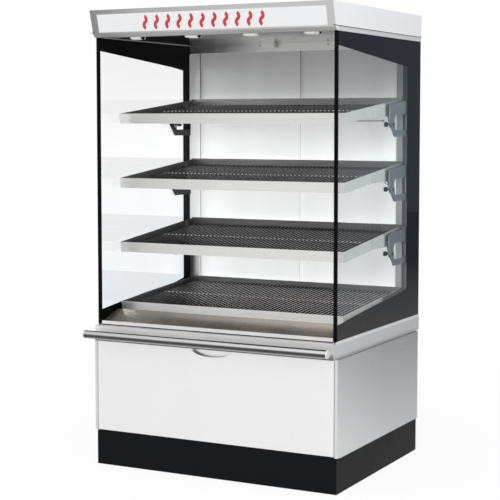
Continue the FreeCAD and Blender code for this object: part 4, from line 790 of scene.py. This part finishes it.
# The left sheet's band at the back is wider: its inner edge lies further forward.
LEFT_BAND = {285: 240, 291: 240}
for sign, name, moved_edge in ((1, "glass_print_right", {}), (-1, "glass_print_left", LEFT_BAND)):
    bm = bmesh.new()
    sheet = bm.faces.new([bm.verts.new((sign * PRINT_FACE, depth(moved_edge.get(y, y)), z / 1000))
                          for y, z in BORDER])
    grown = bmesh.ops.extrude_face_region(bm, geom=[sheet])
    moved = [v for v in grown["geom"] if isinstance(v, bmesh.types.BMVert)]
    bmesh.ops.translate(bm, verts=moved, vec=(-sign * PRINT_THICKNESS, 0, 0))
    print(name, len(piece(name, bm, print_black).data.vertices), "vertices")

# %% [markdown]
# ## Jamb on the left
# Above the lowest shelf the pale back reaches right up to the left sheet. A strip of
# the doors' frosted plastic covers the upright there. Its lower end is left free, so
# the steel shows in the lowest compartment.

# %% Left jamb
JAMB_LOW, JAMB_HIGH = 0.745, 1.573
POST_FACE = depth(290.5)


def upright_edges(bm):
    """The short edges across a strip's thickness."""
    return [e for e in bm.edges if abs(e.verts[0].co.y - e.verts[1].co.y) > 1e-4]


bm = bmesh.new()
bmesh.ops.create_cube(bm, size=1.0)
bmesh.ops.scale(bm, vec=(0.0495, 0.0003, JAMB_HIGH - JAMB_LOW), verts=bm.verts)
bmesh.ops.translate(bm, vec=(-0.4527, POST_FACE, (JAMB_LOW + JAMB_HIGH) / 2), verts=bm.verts)
bmesh.ops.bevel(bm, geom=upright_edges(bm), offset=0.006, segments=5, profile=0.5,
                affect="EDGES", material=-1)
print("jamb", len(piece("left_jamb", bm, door_frost).data.polygons), "faces")

# %% Lower cover
# In the lowest compartment a steel strip with one rounded corner covers the upright.
bm = bmesh.new()
bmesh.ops.create_cube(bm, size=1.0)
bmesh.ops.scale(bm, vec=(0.0435, 0.0008, 0.18), verts=bm.verts)
bmesh.ops.translate(bm, vec=(-0.45575, POST_FACE, 0.6515), verts=bm.verts)
corner = [e for e in upright_edges(bm) if all(v.co.x > -0.45 and v.co.z > 0.7 for v in e.verts)]
bmesh.ops.bevel(bm, geom=corner, offset=0.008, segments=6, profile=0.5, affect="EDGES", material=-1)
print("cover", len(piece("left_post_cover", bm, steel_level).data.polygons), "faces")

# %% [markdown]
# ## Weld beads and seams
# Every rod of a rack is welded to the middle cross wire. The beads catch the light as
# a row of bright dots. One bead is a quarter circle spun into a low dome.

# %% Weld beads
RACK_HALF, RACK_GAPS = 0.435, 50
BEAD_RADIUS, BEAD_HEIGHT, BEAD_SINK = 0.0036, 0.0024, 0.0002
bead = bmesh.new()
dome = [(BEAD_RADIUS * math.sin(a), 0.0, BEAD_HEIGHT * math.cos(a)) for a in (0.0, 0.5, 1.0, math.pi / 2)]
spun(bead, dome + [(0.0, 0.0, 0.0)], 8)
bmesh.ops.remove_doubles(bead, verts=bead.verts, dist=1e-6)
bead_mesh = bpy.data.meshes.new("bead")
bead.to_mesh(bead_mesh)
bead.free()
for name, body, lean in (("shelf_1_welds", "shelf_1", 6.0), ("shelf_2_welds", "shelf_2", 6.0),
                         ("shelf_3_welds", "shelf_3", 6.0), ("bottom_tray_welds", "cabinet", 4.33)):
    tilt = math.radians(lean)
    rack = nodes[name.replace("welds", "rack")]
    corners = [v.co for v in rack.data.vertices]
    middle = (min(c.y for c in corners) + max(c.y for c in corners)) / 2
    top = max(c.z for c in corners) - (max(c.y for c in corners) - middle) * math.tan(tilt)
    bm = bmesh.new()
    for k in range(RACK_GAPS + 1):
        bm.from_mesh(bead_mesh)
        fresh = bm.verts[:][-len(bead_mesh.vertices):]
        bmesh.ops.rotate(bm, verts=fresh, cent=(0, 0, 0), matrix=Matrix.Rotation(tilt, 3, "X"))
        bmesh.ops.translate(bm, verts=fresh, vec=(-RACK_HALF + 2 * RACK_HALF * k / RACK_GAPS,
                                                  middle, top - BEAD_SINK))
    print(name, len(piece(name, bm, weld_metal, body=body).data.polygons), "faces")
bpy.data.meshes.remove(bead_mesh)

# %% [markdown]
# Folded sheet leaves thin dark lines where two parts meet: under the air lip, above
# the canopy's lower lip and under the counter. The shade in each of these gaps is
# painted as a thin black strip with softened edges. A strip of the same kind paints
# the shade in the gap on each side of the flap.

# %% Seams
# A black coat for the painted shade in the gaps.
gap_shade_black = coat("gap_shade_black", (0.006, 0.006, 0.007), 0.5, 900.0, 0.00002, Specular_IOR_Level=0.2)


def seam(bm, middle, size, lean=0.0):
    """A thin bar with bevelled long edges, leaning about X."""
    made = bmesh.ops.create_cube(bm, size=1.0)["verts"]
    bmesh.ops.scale(bm, vec=size, verts=made)
    edges = list({e for v in made for e in v.link_edges})
    grown = bmesh.ops.bevel(bm, geom=edges, offset=min(size) * 0.25, segments=2, profile=0.5,
                            affect="EDGES", material=-1)
    made = list({v for f in grown["faces"] for v in f.verts} | {v for v in made if v.is_valid})
    bmesh.ops.rotate(bm, verts=made, cent=(0, 0, 0), matrix=Matrix.Rotation(lean, 3, "X"))
    bmesh.ops.translate(bm, verts=made, vec=middle)


# Each strip is painted shade in a gap between two parts.
bm = bmesh.new()
seam(bm, (0.0, depth(-376.6), 0.5352), (0.95, 0.0014, 0.0034))
for sign in (1, -1):
    seam(bm, (sign * 0.4911, depth(-2.0), 1.6205), (0.0006, 0.828, 0.0024))
    seam(bm, (sign * 0.4997, depth(0.0), 0.4765), (0.0006, 0.764, 0.0016))
    seam(bm, (sign * 0.4873, depth(-385.0), 0.305), (0.0014, 0.004, 0.338))
print("seams", len(piece("painted_gap_shade", bm, gap_shade_black).data.polygons), "faces")

# %% [markdown]
# ## Sign
# The sign holds a plain row of red heat waves. One wave is two arcs: a short edge, as
# wide as the stroke, is spun about one centre and then about another on the opposite
# side.

# %% Heat waves
RADIUS, STROKE = 0.0128, 0.0125
WAVE_GAP, WAVE_THICKNESS = 0.0002, 0.0003
SIGN_FOOT = Vector((0.0, -0.3705, 1.62155))
SIGN_UP = Vector((0.0, -0.2556, 0.9668))
SIGN_OUT = Vector((0.0, -0.9668, -0.2556))


def arc_strip(bm, centre, start, sweep):
    """A flat curved stroke in the XY plane, made by spinning its end edge."""
    ends = [bm.verts.new((centre[0] + r * math.cos(start), centre[1] + r * math.sin(start), 0.0))
            for r in (RADIUS - STROKE / 2, RADIUS + STROKE / 2)]
    stroke = bm.edges.new(ends)
    bmesh.ops.spin(bm, geom=ends + [stroke], cent=(centre[0], centre[1], 0.0), axis=(0, 0, 1),
                   dvec=(0, 0, 0), angle=sweep, steps=12)


def wave(bm, x, y):
    """Two arcs of 120 degrees that meet at the point."""
    reach = RADIUS * math.sin(math.radians(60))
    arc_strip(bm, (x + RADIUS / 2, y - reach), math.radians(120), math.radians(120))
    arc_strip(bm, (x - RADIUS / 2, y + reach), math.radians(-60), math.radians(120))


motif_red = coat("motif_red", (0.4, 0.022, 0.036), 0.35, 500.0, 0.00001, spread=0.12)
bm = bmesh.new()
WAVES = 11
ROW_START, ROW_LENGTH, ROW_RISE = -0.258, 0.473, 0.0325
for number in range(WAVES):
    wave(bm, ROW_START + ROW_LENGTH * number / (WAVES - 1), ROW_RISE)
bmesh.ops.remove_doubles(bm, verts=bm.verts, dist=1e-5)
bmesh.ops.recalc_face_normals(bm, faces=bm.faces)
bmesh.ops.solidify(bm, geom=bm.faces, thickness=WAVE_THICKNESS)
turn = Matrix(((1.0, 0.0, 0.0), (0.0, SIGN_UP.y, SIGN_OUT.y), (0.0, SIGN_UP.z, SIGN_OUT.z)))
bmesh.ops.transform(bm, verts=bm.verts, matrix=turn.to_4x4())
bmesh.ops.translate(bm, verts=bm.verts, vec=SIGN_FOOT + SIGN_OUT * WAVE_GAP)
print("waves", len(piece("sign_heat_waves", bm, motif_red).data.polygons), "faces")

# %% [markdown]
# ## Screws
# A pan-head screw is a short profile spun round: a dome, its edge and a round socket
# in the middle. They hold the rear panel, the control plate and the header strip.

# %% Screws
SCREW = [(0.0, 0.0011), (0.0011, 0.0011), (0.0014, 0.0022), (0.0026, 0.0021), (0.0036, 0.0014),
         (0.004, 0.0004), (0.004, 0.0), (0.0, 0.0)]


def screw_row(name, places, turned):
    """Screw heads at the places; turned carries +Z to the panel's outward direction."""
    bm = bmesh.new()
    for place in places:
        one = bmesh.new()
        spun(one, [(r, 0.0, h) for r, h in SCREW], 18)
        bmesh.ops.remove_doubles(one, verts=one.verts, dist=1e-6)
        bmesh.ops.transform(one, verts=one.verts, matrix=Matrix.Translation(place) @ turned.to_4x4())
        carried = bpy.data.meshes.new("carried")
        one.to_mesh(carried)
        one.free()
        bm.from_mesh(carried)
        bpy.data.meshes.remove(carried)
    return piece(name, bm, zinc)


TO_BACK = Matrix.Rotation(math.radians(-90), 3, "X")
TO_FRONT = Matrix.Rotation(math.radians(90), 3, "X")
REAR_FACE, PLATE_FACE, HEADER_FACE = depth(383.0), depth(392.0), depth(291.0)
rear = [Vector((x, REAR_FACE, z)) for x in (-0.474, -0.24, 0.0, 0.24, 0.474) for z in (0.146, 0.463)]
rear += [Vector((x, REAR_FACE, 0.305)) for x in (-0.474, 0.474)]
print("rear screws", len(screw_row("rear_panel_screws", rear, TO_BACK).data.polygons))
plate = [Vector((x, PLATE_FACE, z)) for x in (0.198, 0.402) for z in (0.343, 0.437)]
print("plate screws", len(screw_row("control_plate_screws", plate, TO_BACK).data.polygons))
strip = [Vector((x, HEADER_FACE, 1.598)) for x in (-0.44, -0.15, 0.15, 0.44)]
print("header screws", len(screw_row("door_header_screws", strip, TO_FRONT).data.polygons))

# %% [markdown]
# ## Louvres
# The slots in the rear panel are pressed outwards into hoods. One hood is a quarter
# of a drum, closed at its ends: an arc profile is extruded along the slot, and its
# ends are rounded off by pulling their outer points back.

# %% Louvre hoods
HOOD_REACH, HOOD_RISE, HOOD_HALF = 0.007, 0.0068, 0.077
HOOD_ROWS, LOWEST_HOOD, HOOD_PITCH = 7, 0.193, 0.018
bm = bmesh.new()
for column in (-0.33, -0.11):
    for row in range(HOOD_ROWS):
        low = LOWEST_HOOD + HOOD_PITCH * row
        arc = []
        for step in range(7):
            angle = math.radians(90 * step / 6)
            arc.append(bm.verts.new((column - HOOD_HALF,
                                     REAR_FACE + HOOD_REACH * math.cos(angle),
                                     low - 0.0005 + HOOD_RISE * math.sin(angle))))
        edges = [bm.edges.new(pair) for pair in zip(arc, arc[1:])]
        previous = edges
        for length in (0.006, 2 * HOOD_HALF - 0.012, 0.006):
            grown = bmesh.ops.extrude_edge_only(bm, edges=previous)
            verts = [g for g in grown["geom"] if isinstance(g, bmesh.types.BMVert)]
            previous = [g for g in grown["geom"] if isinstance(g, bmesh.types.BMEdge)
                        and g.verts[0] in verts and g.verts[1] in verts]
            bmesh.ops.translate(bm, verts=verts, vec=(length, 0, 0))
            last = verts
        for verts in (arc, last):
            for v in verts:
                v.co.y = REAR_FACE + (v.co.y - REAR_FACE) * 0.06
bmesh.ops.remove_doubles(bm, verts=bm.verts, dist=1e-6)
bmesh.ops.recalc_face_normals(bm, faces=bm.faces)
bmesh.ops.solidify(bm, geom=bm.faces, thickness=0.0008)
print("hoods", len(piece("rear_louvre_hoods", bm, steel_level).data.polygons), "faces")

# %% [markdown]
# ## Dial scale and switch marks
# The control plate carries plain numbers round the dial and the usual bar and ring
# beside the rocker. Numbers are text turned into a mesh.

# %% Scale
mark_white = coat("mark_white", (0.75, 0.75, 0.73), 0.5, 500.0, 0.00001, spread=0.05)
DIAL = Vector((0.24, depth(392.15), 0.39))
LINE_RADIUS, NUMBER_RADIUS = 0.0245, 0.0335
SWITCH_X, RING_HEIGHT = 0.35, 0.3685
bm = bmesh.new()


def flat_mark(bm, x, z, wide, high, turn_by=0.0):
    """A thin printed bar on the control plate, turned about the plate's normal."""
    made = bmesh.ops.create_cube(bm, size=1.0)["verts"]
    bmesh.ops.scale(bm, vec=(wide, 0.0002, high), verts=made)
    bmesh.ops.rotate(bm, verts=made, cent=(0, 0, 0), matrix=Matrix.Rotation(turn_by, 3, "Y"))
    bmesh.ops.translate(bm, verts=made, vec=(x, DIAL.y, z))


for step in range(13):
    angle = math.radians(-135 + 270 * step / 12)
    flat_mark(bm, DIAL.x - LINE_RADIUS * math.sin(angle), DIAL.z + LINE_RADIUS * math.cos(angle),
              0.0008, 0.0045 if step % 2 == 0 else 0.0028, -angle)
flat_mark(bm, SWITCH_X, 0.4115, 0.0012, 0.007)
FLAT_RING = ((0.0024, -0.0001), (0.0036, -0.0001), (0.0036, 0.0001), (0.0024, 0.0001))
spun(bm, [(SWITCH_X + r, DIAL.y + h, RING_HEIGHT) for r, h in FLAT_RING], 24, axis=(0, 1, 0),
     centre=(SWITCH_X, DIAL.y, RING_HEIGHT), closed=True)
for step in range(7):
    letters = bpy.data.curves.new("digit", "FONT")
    letters.body = str(step)
    letters.size = 0.0085
    letters.align_x = "CENTER"
    letters.align_y = "CENTER"
    letters.resolution_u = 3
    letters.extrude = 0.0001
    shown_text = bpy.data.objects.new("digit", letters)
    bpy.context.scene.collection.objects.link(shown_text)
    digit = bpy.data.meshes.new_from_object(shown_text)
    bpy.data.objects.remove(shown_text)
    angle = math.radians(-135 + 45 * step)
    digit.transform(Matrix.Translation((DIAL.x - NUMBER_RADIUS * math.sin(angle), DIAL.y,
                                        DIAL.z + NUMBER_RADIUS * math.cos(angle)))
                    @ Matrix.Rotation(math.pi, 4, "Z") @ Matrix.Rotation(math.radians(90), 4, "X"))
    bm.from_mesh(digit)
    bpy.data.meshes.remove(digit)
print("scale", len(piece("control_scale", bm, mark_white).data.polygons), "faces")

# %% [markdown]
# ## Finger rings
# Each sliding door has a lipped ring in its finger hole, which travels with the door.

# %% Finger rings
LIP = [(0.0152, -0.0042), (0.0152, 0.0038), (0.0162, 0.0046), (0.0182, 0.0046), (0.0192, 0.0036),
       (0.0192, 0.0031), (0.0162, 0.0031), (0.0162, -0.0042)]
HOLE_HEIGHT = 1.066
for name, x, y in (("rear_door_left", -0.388, 308.0), ("rear_door_right", 0.388, 324.0)):
    bm = bmesh.new()
    spun(bm, [(r, h, 0.0) for r, h in LIP], 32, axis=(0, 1, 0), closed=True)
    bmesh.ops.translate(bm, verts=bm.verts, vec=(x, depth(y), HOLE_HEIGHT))
    print(name, "ring", len(piece(name + "_ring", bm, black_plastic, body=name).data.polygons))
